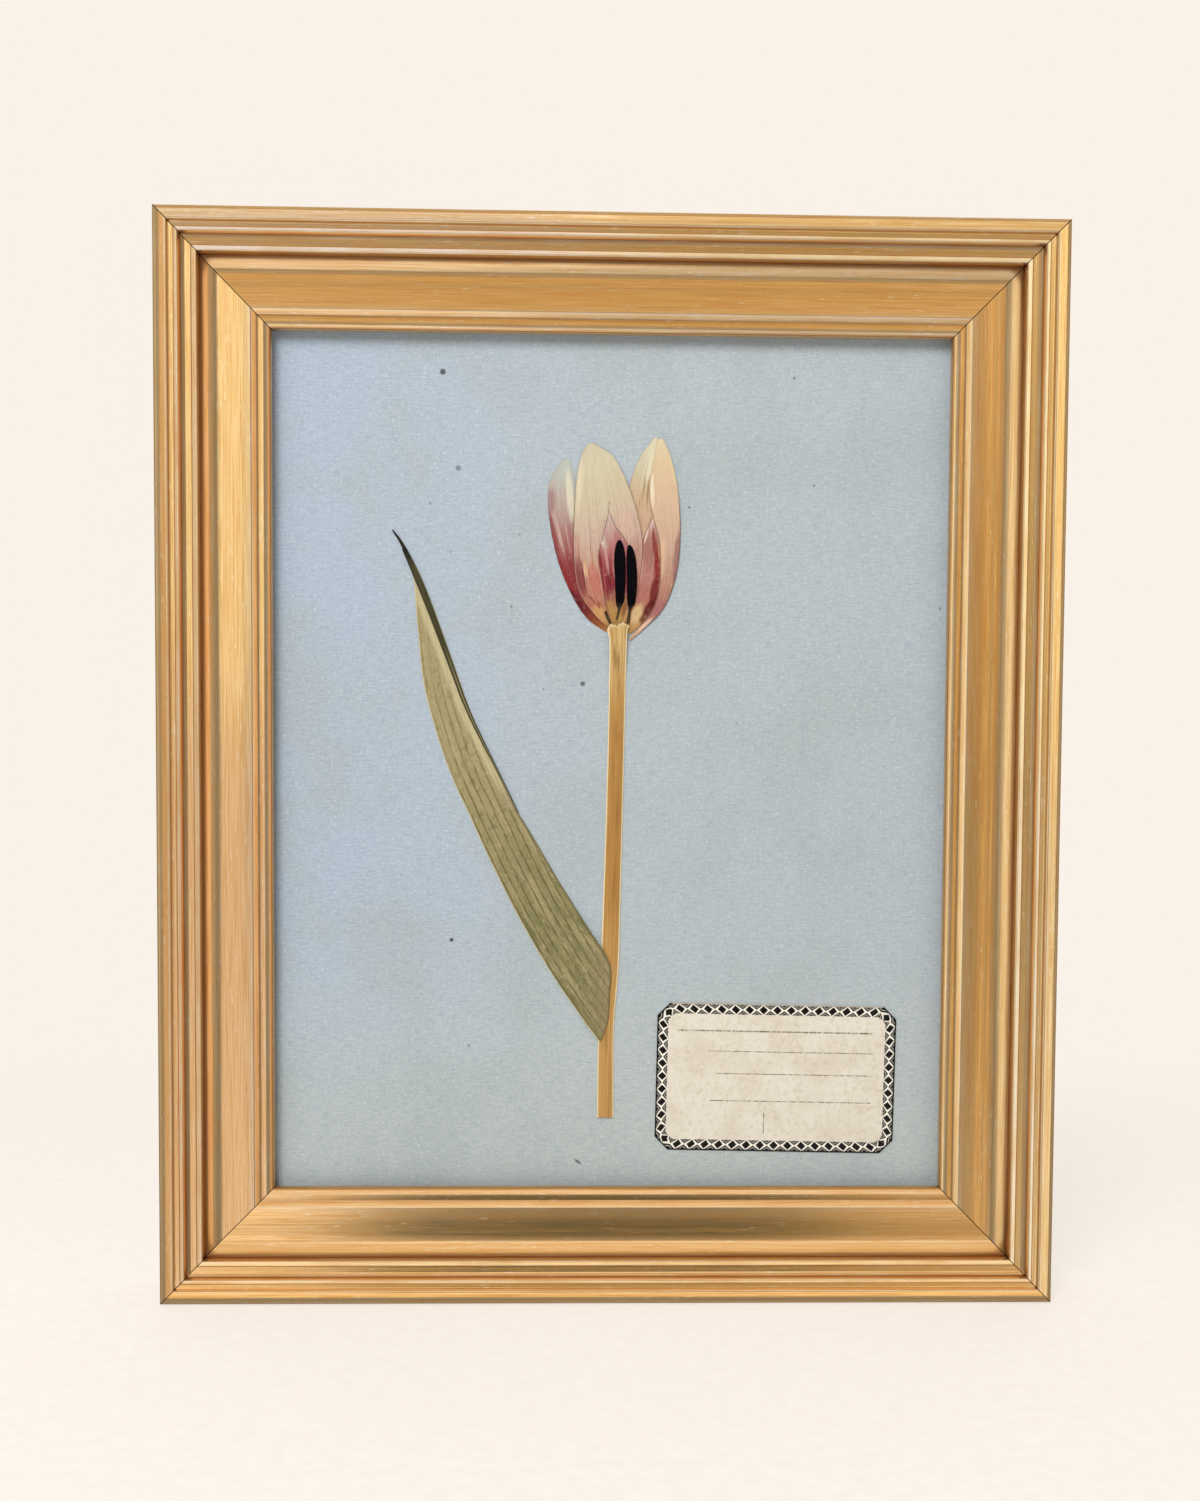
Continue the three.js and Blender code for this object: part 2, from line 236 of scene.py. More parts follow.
def showPiece(name, bm, material, nodes, sharpAngle=40):
    mesh = bpy.data.meshes.new(name)
    bm.to_mesh(mesh)
    bm.free()
    for face in mesh.polygons:
        face.use_smooth = True
    mesh.set_sharp_from_angle(angle=math.radians(sharpAngle))
    mesh.materials.append(material)
    piece = bpy.data.objects.new(name, mesh)
    bpy.context.scene.collection.objects.link(piece)
    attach(piece, "root")
    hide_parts(*nodes)
    return piece


# camera where the photograph was taken
cameraLook = {
    "place": (-0.01101, -0.52136, -0.1318), "yaw": -1.796, "pitch": -3.138, "roll": 0.395,
    "focalPixels": 1800, "longSidePixels": 1501, "sensor": 36, "nearest": 0.01,
    "middleOff": (28, 100),  # how far right and down of the image's middle the view is centred
}


def addCamera():
    data = bpy.data.cameras.new("camera")
    data.sensor_width = cameraLook["sensor"]
    data.lens = cameraLook["focalPixels"] / cameraLook["longSidePixels"] * cameraLook["sensor"]
    data.shift_x = -cameraLook["middleOff"][0] / cameraLook["longSidePixels"]
    data.shift_y = cameraLook["middleOff"][1] / cameraLook["longSidePixels"]
    data.clip_start = cameraLook["nearest"]
    camera = bpy.data.objects.new("camera", data)
    bpy.context.scene.collection.objects.link(camera)
    aim = Matrix.Rotation(math.radians(cameraLook["yaw"]), 4, "Z")
    aim @= Matrix.Rotation(math.radians(90 + cameraLook["pitch"]), 4, "X")
    aim @= Matrix.Rotation(math.radians(cameraLook["roll"]), 4, "Z")
    camera.matrix_world = Matrix.Translation(cameraLook["place"]) @ aim
    bpy.context.scene.camera = camera


addCamera()
bpy.context.scene.view_settings.view_transform = "Standard"
print("camera set")


# gilt moulding
railLook = {
    # the groove colour is dirt and painted shade in the hollows, the rub colour rubbed gilding and painted
    # edge highlights
    "pale": "f8e0b4", "gold": "efc88c", "amber": "e6b674", "groove": "94541a", "rubAndHighlight": "fff1d6",
    "seam": "21120f", "bareWood": "b08a5c", "bareGrain": "8a6640", "bareRough": (0.8, 0.8, 0.8, 1),
    "metal": 0.93, "gloss": (0.22, 0.14), "fleckShare": 0.65, "fleckDull": 0.05,
    "steps": 16, "curveSteps": 6, "mitreGap": 0.02, "seamWidths": (0.2, 0.08), "slack": 0.01,
    "sharpAngle": 35,
}
# in from the outer side, behind the crest, rounding, and how much dirt and painted shade it has, or rubbed
# gilding with a painted highlight where that is below 0
railSection = [
    (0, 26.5, 0.3, 0), (0, 0.1, 1.3, 0), (2.15, 0, 0.3, 0), (3.9, 0.03, 0.5, -0.4), (4, 1.7, 0.08, 0.15),
    (4.35, 1.71, 0.1, 0), (5.15, 1.78, 0.1, 0), (5.4, 1.8, 0.08, 0.5), (5.5, 1.45, 0.2, -0.6),
    (6.55, 1.45, 0.35, -0.6), (6.65, 4.4, 0.1, 0.75), (7.2, 4.66, 0.15, 0.35), (7.8, 4.95, 0.2, 0),
    (9.2, 5.08, 0.1, 0), (9.45, 5.11, 0.08, 0.5), (9.55, 4.75, 0.2, -0.6), (10.95, 4.75, 0.35, -0.6),
    (11.05, 9, 0.1, 0.9), (11.65, 9.7, 0.15, 0.6), (12.6, 10.55, 0.5, 0), (14.2, 11.5, 0.85, 0),
    (16.2, 12.02, 1.1, 0), (19.7, 12.35, 2.2, 0), (24.1, 13.28, 0.2, -0.4),
    (25.7, 14.3, 0.4, 0.3), (27.8, 14.55, 0.9, -0.2), (29.4, 15.6, 1, 0.4), (29.4, 17, 0, 0.7),
    (22.5, 17, 0, 0), (22.5, 26.5, 0, 0),
]
rabbetDepth = railSection[-2][1]


def giltFinish():
    look = railLook
    material, tree, shader = finish("gilt", more={"Coat Weight": 0.1, "Coat Roughness": 0.3})
    uv = coords(tree, "UV")
    brush = grain(uv, (48, 1900, 1), 5, 0.6)
    sweep = grain(uv, (14, 420, 1), 3, 0.55)
    dash = grain(uv, (260, 2900, 1), 1, 0.5)
    rubAndHighlight = grain(uv, (45, 200, 1), 3, 0.6)
    flecks = times(fade(dash, 0.6, 0.72), fade(rubAndHighlight, 0.42, 0.62))
    dirtShadeAndHighlight, bare = stored(tree, "dirtShadeAndHighlight"), stored(tree, "bare")
    # rubbed gilding and painted highlight along the section's edges
    rubbedEdgeHighlight = times(fade(dirtShadeAndHighlight, 0, -1), fade(rubAndHighlight, 0.35, 0.6, 0.5, 1.0))
    # dirt and painted shade in the section's hollows, in the groove colour
    dark = times(calc("MAXIMUM", dirtShadeAndHighlight, 0.0), fade(brush, 0.25, 0.75, 1.0, 0.75))
    seam = fade(stored(tree, "toMitre"), *[width * mm for width in look["seamWidths"]])
    tone = between(fade(brush, 0.3, 0.54), look, "amber", "gold")
    tone = coats(tone, look, (brush, 0.5, 0.75, 0.6, "pale"), (sweep, 0.46, 0.7, 0.45, "amber"))
    for amount, colour in ((times(flecks, look["fleckShare"]), "rubAndHighlight"), (rubbedEdgeHighlight, "rubAndHighlight"), (dark, "groove"),
                           (seam, "seam")):
        tone = paint(tone, amount, look[colour])
    wood = grain(uv, (6, 500, 1), 6, 0.6, 0.4)
    woodTone = between(fade(wood, 0.35, 0.65), look, "bareGrain", "bareWood")
    gloss = plus(fade(brush, 0.3, 0.7, *look["gloss"]), times(flecks, look["fleckDull"]))
    wire(times(calc("SUBTRACT", 1.0, bare), look["metal"]), shader.inputs["Metallic"])
    wire(blend(bare, gloss, look["bareRough"]), shader.inputs["Roughness"])
    cover(shader, blend(bare, tone, woodTone), brush, 0.2, 0.02)
    return material


# the section's points with the dirt, painted shade and painted highlight on each, its corners eased by short
# curves
def sectionLine():
    line = []
    for i, (t, d, rounding, dirtShadeAndHighlight) in enumerate(railSection):
        corner = Vector((t, d))
        before = Vector(railSection[i - 1][:2]) - corner
        after = Vector(railSection[(i + 1) % len(railSection)][:2]) - corner
        start = corner + before.normalized() * rounding
        end = corner + after.normalized() * rounding
        steps = railLook["curveSteps"] if rounding else 0
        for k in range(steps + 1):
            f = k / max(steps, 1)
            line.append(((1 - f) ** 2 * start + 2 * f * (1 - f) * corner + f * f * end, dirtShadeAndHighlight))
    return line


def railMesh(length):
    line = sectionLine()
    bm = bmesh.new()
    spotLayer = bm.verts.layers.int.new("sectionPoint")
    dirtShadeAndHighlightLayer = bm.verts.layers.float.new("dirtShadeAndHighlight")
    bareLayer = bm.verts.layers.float.new("bare")
    mitreLayer = bm.verts.layers.float.new("toMitre")
    uvLayer = bm.loops.layers.uv.new("rail")
    outline = [bm.verts.new((point.x * mm, point.y * mm, 0)) for point, _ in line]
    start = bm.faces.new(outline)
    grown = bmesh.ops.extrude_face_region(bm, geom=[start])["geom"]
    bmesh.ops.translate(bm, verts=only(bmesh.types.BMVert, grown), vec=(0, 0, 1))
    long = [e for e in bm.edges if abs(e.verts[0].co.z - e.verts[1].co.z) > 0.5]
    bmesh.ops.subdivide_edges(bm, edges=long, cuts=railLook["steps"] - 1, use_grid_fill=True)
    bmesh.ops.recalc_face_normals(bm, faces=bm.faces)
    across = [0.0]
    for (a, _), (b, _) in zip(line, line[1:] + line[:1]):
        across.append(across[-1] + (b - a).length * mm)
    for vert in bm.verts:
        t, d, along = vert.co
        index = min(range(len(line)), key=lambda i: abs(line[i][0].x * mm - t) + abs(line[i][0].y * mm - d))
        vert[spotLayer] = index
        run = length - 2 * (t + railLook["mitreGap"] * mm)
        vert[dirtShadeAndHighlightLayer] = line[index][1]
        behind, inside = d / mm > rabbetDepth - railLook["slack"], t / mm > railLook["slack"]
        vert[bareLayer] = 1.0 if behind and inside else 0.0
        vert[mitreLayer] = min(along, 1 - along) * run
        vert.co.z = t + railLook["mitreGap"] * mm + along * run
    last = len(line) - 1
    for face in bm.faces:
        indices = [loop.vert[spotLayer] for loop in face.loops]
        for loop in face.loops:
            index = loop.vert[spotLayer]
            closing = index == 0 and last in indices
            loop[uvLayer].uv = (loop.vert.co.z, across[last + 1] if closing else across[index])
    return bm


def addRails():
    gilt = giltFinish()
    low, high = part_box("rail_left")[0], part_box("rail_right")[1]
    bottom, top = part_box("rail_bottom")[0].z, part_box("rail_top")[1].z
    width, height = high.x - low.x, top - bottom
    for node, length, turn, x, z in (
        ("rail_left", height, 0, low.x, bottom), ("rail_top", width, 90, low.x, top),
        ("rail_right", height, 180, high.x, top), ("rail_bottom", width, -90, high.x, bottom),
    ):
        bm = railMesh(length)
        place = Matrix.Translation((x, low.y, z)) @ Matrix.Rotation(math.radians(turn), 4, "Y")
        bmesh.ops.transform(bm, matrix=place, verts=bm.verts)
        rail = showPiece("gilt_" + node, bm, gilt, [node], railLook["sharpAngle"])
        shade = rail.modifiers.new("face weights", "WEIGHTED_NORMAL")
        shade.keep_sharp = True


addRails()
print("rails made")


# glass, paper and backing board keep their own solids
sheetLook = {
    "paper": "b7bfc3", "paperBlue": "b0bed0", "paperGreen": "adb6b3", "paperWarm": "bdc4bc",
    "laid": "97a5b0", "fibre": "dfe6ea", "mottle": "8f9ca6", "speck": "38423a",
    "board": "8f8371", "boardPale": "a39782", "boardFleck": "6d6252", "boardDark": "756a59",
    "glass": "fbfdfd",
    "scratch": ((-9, -113.8), (0.5, 1.7), -55, 0.85, "3d4644"),  # middle, half sizes, lean, darkness, colour
    "specks": [  # right, up, size, darkness
        (-48.2, 111.3, 1.1, 0.85), (-43.8, 84.5, 1.0, 0.55), (-8.3, 24, 0.9, 0.75), (-45.5, -49.5, 0.7, 0.95),
        (51.2, 110.8, 0.6, 0.5), (57.2, 80.7, 0.55, 0.5), (-51.7, 74.5, 0.55, 0.45), (-40.5, -80, 0.55, 0.45),
        (21.7, 74.2, 0.5, 0.6), (93.8, 46.2, 0.5, 0.5), (-28.7, 45.7, 0.5, 0.5), (-26.5, 66, 0.4, 0.4),
        (-46, 61, 0.45, 0.4), (-19.5, 22.4, 0.4, 0.4), (36, 13, 0.45, 0.35), (-60, -31, 0.4, 0.35),
    ],
}


def paperFinish():
    look = sheetLook
    material, tree, shader = finish("mount_paper", 0.92, 0.2)
    place = onPaper(tree)
    x, _, z = parted(place)
    cloud = grain(place, 0.03, 4, 0.55)
    mottle = grain(place, 0.5, 5, 0.7)
    laid = grain(place, (0.3, 1, 2.0), 3, 0.6)
    chain = grain(place, (2.0, 1, 0.35), 3, 0.6)
    fibre = grain(place, (1.1, 1, 1.9), 2, 0.5)
    tone = between(fade(x, 20, -90, 0, 0.85), look, "paper", "paperBlue")
    # paler and greener towards the bottom: partly the paper's own tone, partly painted light against the
    # bottom lip's shade
    tone = coats(tone, look, (z, -30, -118, 0.8, "paperWarm"), (cloud, 0.42, 0.66, 0.55, "paperGreen"),
                 (laid, 0.42, 0.66, 0.42, "laid"), (chain, 0.45, 0.68, 0.3, "laid"),
                 (mottle, 0.52, 0.78, 0.25, "mottle"), (fibre, 0.54, 0.72, 0.4, "fibre"))
    for right, up, size, dark in look["specks"]:
        tone = paint(tone, times(spot(place, (right, up), (size, size), edge=0.5), dark), look["speck"])
    middle, sizes, lean, dark, code = look["scratch"]
    tone = paint(tone, times(spot(place, middle, sizes, lean), dark), code)
    cover(shader, tone, plus(laid, mottle), 0.3, 0.1)
    return material


def boardFinish():
    look = sheetLook
    material, tree, shader = finish("backing_board", 0.9, 0.2)
    place = onPaper(tree)
    fibre = grain(mapped(place, (1.1, 1, 2.0), turn=(0, 0.5, 0)), 1, 6, 0.7)
    tone = between(fade(fibre, 0.35, 0.7), look, "board", "boardPale")
    tone = coats(tone, look, (grain(place, 1.8, 3, 0.5), 0.66, 0.76, 0.6, "boardFleck"),
                 (grain(place, 0.03, 3, 0.5), 0.4, 0.7, 0.25, "boardDark"))
    cover(shader, tone, fibre, 0.3, 0.1)
    return material


def glassFinish():
    clear = {"Transmission Weight": 1.0, "IOR": 1.5, "Base Color": tint(sheetLook["glass"])}
    return finish("glass", 0.0, more=clear)[0]


def dressSheets():
    for node, material in (("mount_paper", paperFinish()), ("backing_board", boardFinish()),
                           ("glass", glassFinish())):
        sheet = frame["nodes"][node]
        sheet.data.materials.clear()
        sheet.data.materials.append(material)
    pane = frame["nodes"]["glass"]
    pane.visible_shadow = False  # the studio light reaches the specimen through the pane
    pane.visible_diffuse = False


dressSheets()
print("glass, paper and board dressed")


# pressed pieces: a grid between a left and a right edge, drawn from base to tip
edgeLook = {"partSteps": 40, "measureSteps": 400}


def edgePoints(points, fractions):
    corners = np.array([points[0]] + list(points) + [points[-1]], float)
    samples = []
    for p0, p1, p2, p3 in zip(corners, corners[1:], corners[2:], corners[3:]):
        for f in np.linspace(0, 1, edgeLook["partSteps"], endpoint=False):
            v0, v1 = (p2 - p0) / 2, (p3 - p1) / 2
            samples.append((2 * p1 - 2 * p2 + v0 + v1) * f ** 3 + (3 * p2 - 3 * p1 - 2 * v0 - v1) * f ** 2
                           + v0 * f + p1)
    samples = np.array(samples + [corners[-1]])
    length = np.concatenate([[0], np.cumsum(np.linalg.norm(np.diff(samples, axis=0), axis=1))])
    length /= length[-1]
    return [np.interp(fractions, length, samples[:, axis]) for axis in (0, 1)]


# shortest way from a point to an edge, in millimetres
def edgeDistance(points):
    line = np.stack(edgePoints(points, np.linspace(0, 1, edgeLook["measureSteps"])), axis=1)
    return lambda x, z: float(np.min(np.hypot(line[:, 0] - x, line[:, 1] - z)))


def smooth(value, start, end):
    f = min(max((value - start) / (end - start), 0.0), 1.0)
    return f * f * (3 - 2 * f)


def ripple(x, z, size, seed):
    return noise.noise(Vector((x / size, z / size, seed)))


# height(across, along, x, z) is the front face's height above the paper
def pressedGrid(bm, look, height):
    before = set(bm.verts)
    columns, rows = look["grid"]
    crowding = look.get("crowding", 1)
    bmesh.ops.create_grid(bm, x_segments=columns, y_segments=rows, size=0.5, calc_uvs=True)
    verts = [v for v in bm.verts if v not in before]
    alongs = sorted({round(v.co.y + 0.5, 6) for v in verts})
    spread = [1 - (1 - a) ** crowding for a in alongs]
    leftX, leftZ = edgePoints(look["left"], spread)
    rightX, rightZ = edgePoints(look["right"], spread)
    fray = look.get("fray", 0.0)
    for vert in verts:
        across = vert.co.x + 0.5
        row = alongs.index(round(vert.co.y + 0.5, 6))
        along = spread[row]
        wobble = fray * ripple(across * 3, along * 30, 1, look.get("seed", 0)) * (2 * across - 1)
        x = leftX[row] + (rightX[row] - leftX[row]) * across + wobble
        z = leftZ[row] + (rightZ[row] - leftZ[row]) * across
        z += look["tip"](across, along) if "tip" in look else 0.0
        vert.co = (centreX + x * mm, paperFace - height(across, along, x, z) * mm, centreZ + z * mm)
    return verts


def newSheet():
    bm = bmesh.new()
    bm.loops.layers.uv.new("sheet")
    return bm


# where a point lies, in millimetres right of and above the picture's middle
def placeOf(vert):
    return (vert.co.x - centreX) / mm, (vert.co.z - centreZ) / mm


# gives a thin sheet its thickness, towards the paper
def thicken(bm, thickness):
    bm.normal_update()
    bmesh.ops.solidify(bm, geom=bm.faces[:], thickness=thickness * mm)
    bmesh.ops.recalc_face_normals(bm, faces=bm.faces[:])


# closes a grid down to a flat underside
def closeBelow(bm, verts, under):
    edges = {e for v in verts for e in v.link_edges if e.is_boundary}
    grown = bmesh.ops.extrude_edge_only(bm, edges=list(edges))["geom"]
    for vert in only(bmesh.types.BMVert, grown):
        vert.co.y = paperFace - under(*placeOf(vert)) * mm
    bmesh.ops.holes_fill(bm, edges=only(bmesh.types.BMEdge, grown), sides=0)


# the flower's layers, in millimetres above the paper
layerLook = {"lowest": 0.04, "step": 0.22, "stamens": 4}


def layerHeight(level):
    return layerLook["lowest"] + level * layerLook["step"]


petalLook = {
    "grid": (22, 64), "thick": 0.08, "frontLift": 0.13, "ripple": 0.035, "fray": 0.08,
    "folds": (6, 2.5), "settle": 0.0, "settleFrom": 0.66,
    # edge is the dark rim colour: browned edges, partly painted shadow where petals overlap
    "edge": "724c3c", "vein": "bf9684", "bloom": "f2e6d2", "roughness": 0.72, "tipLine": 0.2,
}
petals = [
    {
        "node": "petal_left", "slot": "petal_rose", "level": 0,
        "left": [(-0.6, 38.1), (-7.3, 42.6), (-12.4, 50.7), (-16.2, 61), (-18.3, 73), (-18, 81),
                 (-14.5, 86.8), (-13.1, 87.7)],
        "right": [(0.8, 39.6), (-4, 52), (-8.4, 66), (-10.5, 79), (-11.3, 83.5), (-12.5, 87.4)],
        "stops": [(0, "b5884f"), (0.09, "8f4a2e"), (0.18, "762629"), (0.3, "883033"), (0.42, "903d40"),
                  (0.55, "a26764"), (0.68, "b59a90"), (0.8, "b9ada0"), (0.9, "babdb2"), (1, "bcc2b8")],
        "streak": ("8f4448", 0.55, 0.1, 0.75),
        "patches": [  # right, up, half its width and height, lean, colour, amount, streakiness
            (-16.9, 66, 1.1, 10, -12, "8c3f42", 0.9, 0.35), (-13.4, 54, 1.2, 8, -24, "8e2b2c", 0.9, 0.3),
            (-10.2, 47.5, 1.2, 5, -35, "5a1420", 0.95, 0.2), (-17.4, 75.5, 1.3, 4.5, -2, "a07a7a", 0.85, 0.4),
            (-15.2, 66.5, 0.6, 8, -16, "ccb0a6", 0.75, 0.5), (-13, 66, 0.45, 8, -12, "c8a89c", 0.65, 0.6),
            (-12.2, 77, 1.3, 9.5, -6, "dcd6bf", 0.95, 0.1),
        ],
    },
    {
        "node": "petal_back_right", "slot": "petal_peach", "level": 0,
        "left": [(4, 38.4), (3.6, 52), (3.2, 68), (4.5, 79.5), (7.5, 88), (11.6, 93.6)],
        "right": [(5.6, 38.8), (10.5, 52), (13, 68), (13.8, 82), (12.5, 93.8)],
        "stops": [(0, "c79d72"), (0.4, "c8a088"), (0.58, "cbaa8c"), (0.7, "cdb492"), (0.8, "cdc2a2"),
                  (0.9, "d5cdb0"), (1, "ded6b6")],
        "streak": ("b8935f", 0.4, 0.35, 0.85),
        "patches": [
            (8.7, 79, 0.3, 5, 8, "8f6c3c", 0.85, 0.2), (9.8, 77.5, 0.25, 5.5, 4, "96733f", 0.8, 0.2),
            (7.4, 75, 0.22, 4, 8, "ab8656", 0.7, 0.2), (10.6, 86, 0.8, 6, 14, "e8dfc0", 0.75, 0.2),
        ],
    },
    {
        "node": "petal_inner_right", "slot": "petal_rose", "level": 1, "tipLine": 0.85,
        "left": [(3.4, 39.6), (5, 50), (7, 60), (9.4, 67), (11, 71)],
        "right": [(5, 38.2), (9, 41.6), (12.6, 47.8), (14.1, 56), (13.8, 63), (12.7, 68), (11.7, 71)],
        "stops": [(0, "b98d4a"), (0.1, "c09762"), (0.22, "b57a60"), (0.35, "b27267"), (0.5, "b98277"),
                  (0.65, "a7756b"), (0.8, "a8786c"), (0.92, "c09a8d"), (1, "d4bbac")],
        "streak": ("8f4444", 0.6, 0.12, 0.9),
        "patches": [
            (12.3, 62, 0.9, 9.5, -8, "8a3332", 0.95, 0.3), (13.4, 61, 0.45, 6, -4, "c8966f", 0.8, 0.2),
            (12.7, 56.5, 1.0, 6.5, -1, "8a2422", 0.95, 0.2), (12, 50.5, 1.5, 6, 8, "741c1e", 0.95, 0.2),
            (10.5, 45.6, 1.4, 4.4, 30, "5c1014", 0.95, 0.1),
            # painted highlights: the two pale patches at 9.6 and 11 mm right
            (9.6, 66.5, 0.4, 3.2, 12, "e6d2c6", 0.85, 0.2), (11, 68.5, 0.3, 2.6, 4, "e2cdc2", 0.8, 0.2),
            (8.2, 56, 0.7, 5, 8, "cc9c90", 0.7, 0.4), (6.8, 44, 2.0, 4, 25, "d8ba88", 0.85, 0.2),
            (8.8, 42, 1.6, 1.3, 45, "6e3a1c", 0.9, 0.2),
        ],
    },
    {
        "node": "petal_centre", "slot": "petal_cream", "level": 2, "settle": layerLook["step"],
        "left": [(-0.4, 39.6), (-5, 43.5), (-9.5, 50), (-11, 60), (-10.9, 75), (-9.6, 86.5),
                 (-7.4, 91.5)],
        "right": [(3.6, 40), (6.2, 46.5), (7.7, 54), (8.5, 63), (7.3, 71), (4.6, 79.5), (0.3, 87.8),
                  (-4, 91), (-6.2, 91.9)],
        "stops": [(0, "b98f54"), (0.07, "c69a68"), (0.16, "b0705e"), (0.25, "bb7e6b"), (0.35, "c4967f"),
                  (0.45, "c7a998"), (0.58, "cdb8a3"), (0.7, "cdbf9f"), (0.85, "d0c7a9"), (1, "cec4a7")],
        "streak": ("b98f74", 0.3, 0.1, 0.7),
        "patches": [
            (-4.9, 53.6, 2.2, 5.6, -16, "be7064", 0.85, 0.3), (-9, 54.4, 1.6, 7.2, -11, "7a2b36", 0.95, 0.25),
            (-9.9, 62, 1.0, 6, -3, "bd8b7c", 0.6, 0.4), (-7.6, 56.3, 0.6, 3.2, -12, "e2bc96", 0.85, 0.2),
            (-4, 44, 3, 3, -40, "cfa066", 0.85, 0.2), (-5, 47.4, 0.45, 4.2, -50, "8e3c3a", 0.85, 0.2),
            (7, 60, 1.4, 8, -8, "bf968a", 0.7, 0.4), (3.6, 70, 3.6, 6, -20, "d2b09d", 0.7, 0.3),
            (-3.2, 76, 1.4, 8, -8, "cfc8ab", 0.6, 0.5), (-1.15, 73.6, 0.2, 3, 4, "9a7f5c", 0.75, 0.0),
            (-9.4, 80, 1.0, 10, 4, "e4d9bb", 0.7, 0.3),
        ],
    },
    {
        "node": "petal_right", "slot": "petal_peach", "level": 2, "settle": 0.8 * layerLook["step"],
        "left": [(4.6, 36.8), (8.6, 41.2), (12, 46.4), (13.5, 54), (13.2, 64), (11.4, 71.4), (10.3, 77),
                 (11, 85), (12.5, 93.2)],
        "right": [(5.2, 36.5), (9, 39.7), (14.5, 45.5), (18, 54.5), (19.2, 66), (18.4, 79), (16.2, 88.6),
                  (13.9, 93.4)],
        "stops": [(0, "c8a884"), (0.06, "d4ae92"), (0.12, "ab7267"), (0.2, "a56d62"), (0.33, "bb8e78"),
                  (0.48, "caa891"), (0.62, "d2b397"), (0.75, "d7bb9b"), (0.88, "dbc19b"), (1, "ded0aa")],
        "streak": ("b98a74", 0.3, 0.1, 0.65),
        "patches": [
            # painted highlights: the cream patches at 11.1 and 14.2 mm right, along the left rim and its fold
            (18.2, 60, 1.2, 10, 6, "98696a", 0.85, 0.3), (11.1, 79.5, 0.7, 7.5, -3, "efdfc2", 0.95, 0.1),
            (14.2, 60, 1.1, 8, 3, "e3c09c", 0.7, 0.3), (13.3, 45.5, 2.6, 3.5, 35, "a8686a", 0.8, 0.4),
            (9.3, 40.9, 0.7, 3.6, 50, "e6c8ac", 0.9, 0.1), (17.2, 84, 0.6, 6, -14, "e2cf9f", 0.7, 0.1),
        ],
    },
    {
        "node": "petal_inner_left", "slot": "petal_rose", "level": 3, "tipLine": 0.85,
        "left": [(0, 41.4), (-1.8, 46), (-3.2, 53.6), (-4.15, 60), (-3, 65.2), (-1.5, 71.6)],
        "right": [(2.8, 41.6), (4.8, 49), (5.4, 57), (3.8, 64.4), (1, 68.2), (-0.6, 72)],
        "stops": [(0, "b8924f"), (0.12, "ae854e"), (0.22, "9e6a54"), (0.32, "862f36"), (0.45, "8f3c42"),
                  (0.58, "a05456"), (0.7, "b27672"), (0.85, "bf9c94"), (1, "c6b2a8")],
        "streak": ("7c2633", 0.7, 0.16, 0.7),
        "patches": [
            (-3.2, 57, 0.5, 6.5, -8, "7e1f2a", 0.95, 0.15), (-1, 54.5, 0.6, 7, -6, "741a27", 0.95, 0.2),
            (-2.1, 53, 0.35, 5, -8, "b8625f", 0.6, 0.2), (0.2, 58, 0.3, 6, -4, "c98f8a", 0.7, 0.3),
            (-1.9, 60, 0.45, 6.5, -9, "cf9f98", 0.85, 0.3), (-2.7, 65, 0.8, 4.5, -16, "c4b3a8", 0.85, 0.3),
            # painted highlight: the whitish patch at 3 mm left of the middle
            (-3.0, 64, 0.3, 2.2, -10, "e8dad2", 0.9, 0.1), (1.6, 65, 1.2, 4, -24, "b06c6a", 0.7, 0.4),
            (3.2, 45, 0.9, 3, 4, "855428", 0.85, 0.2), (-0.3, 45.5, 1.0, 3, -20, "b58d52", 0.8, 0.2),
        ],
    },
]


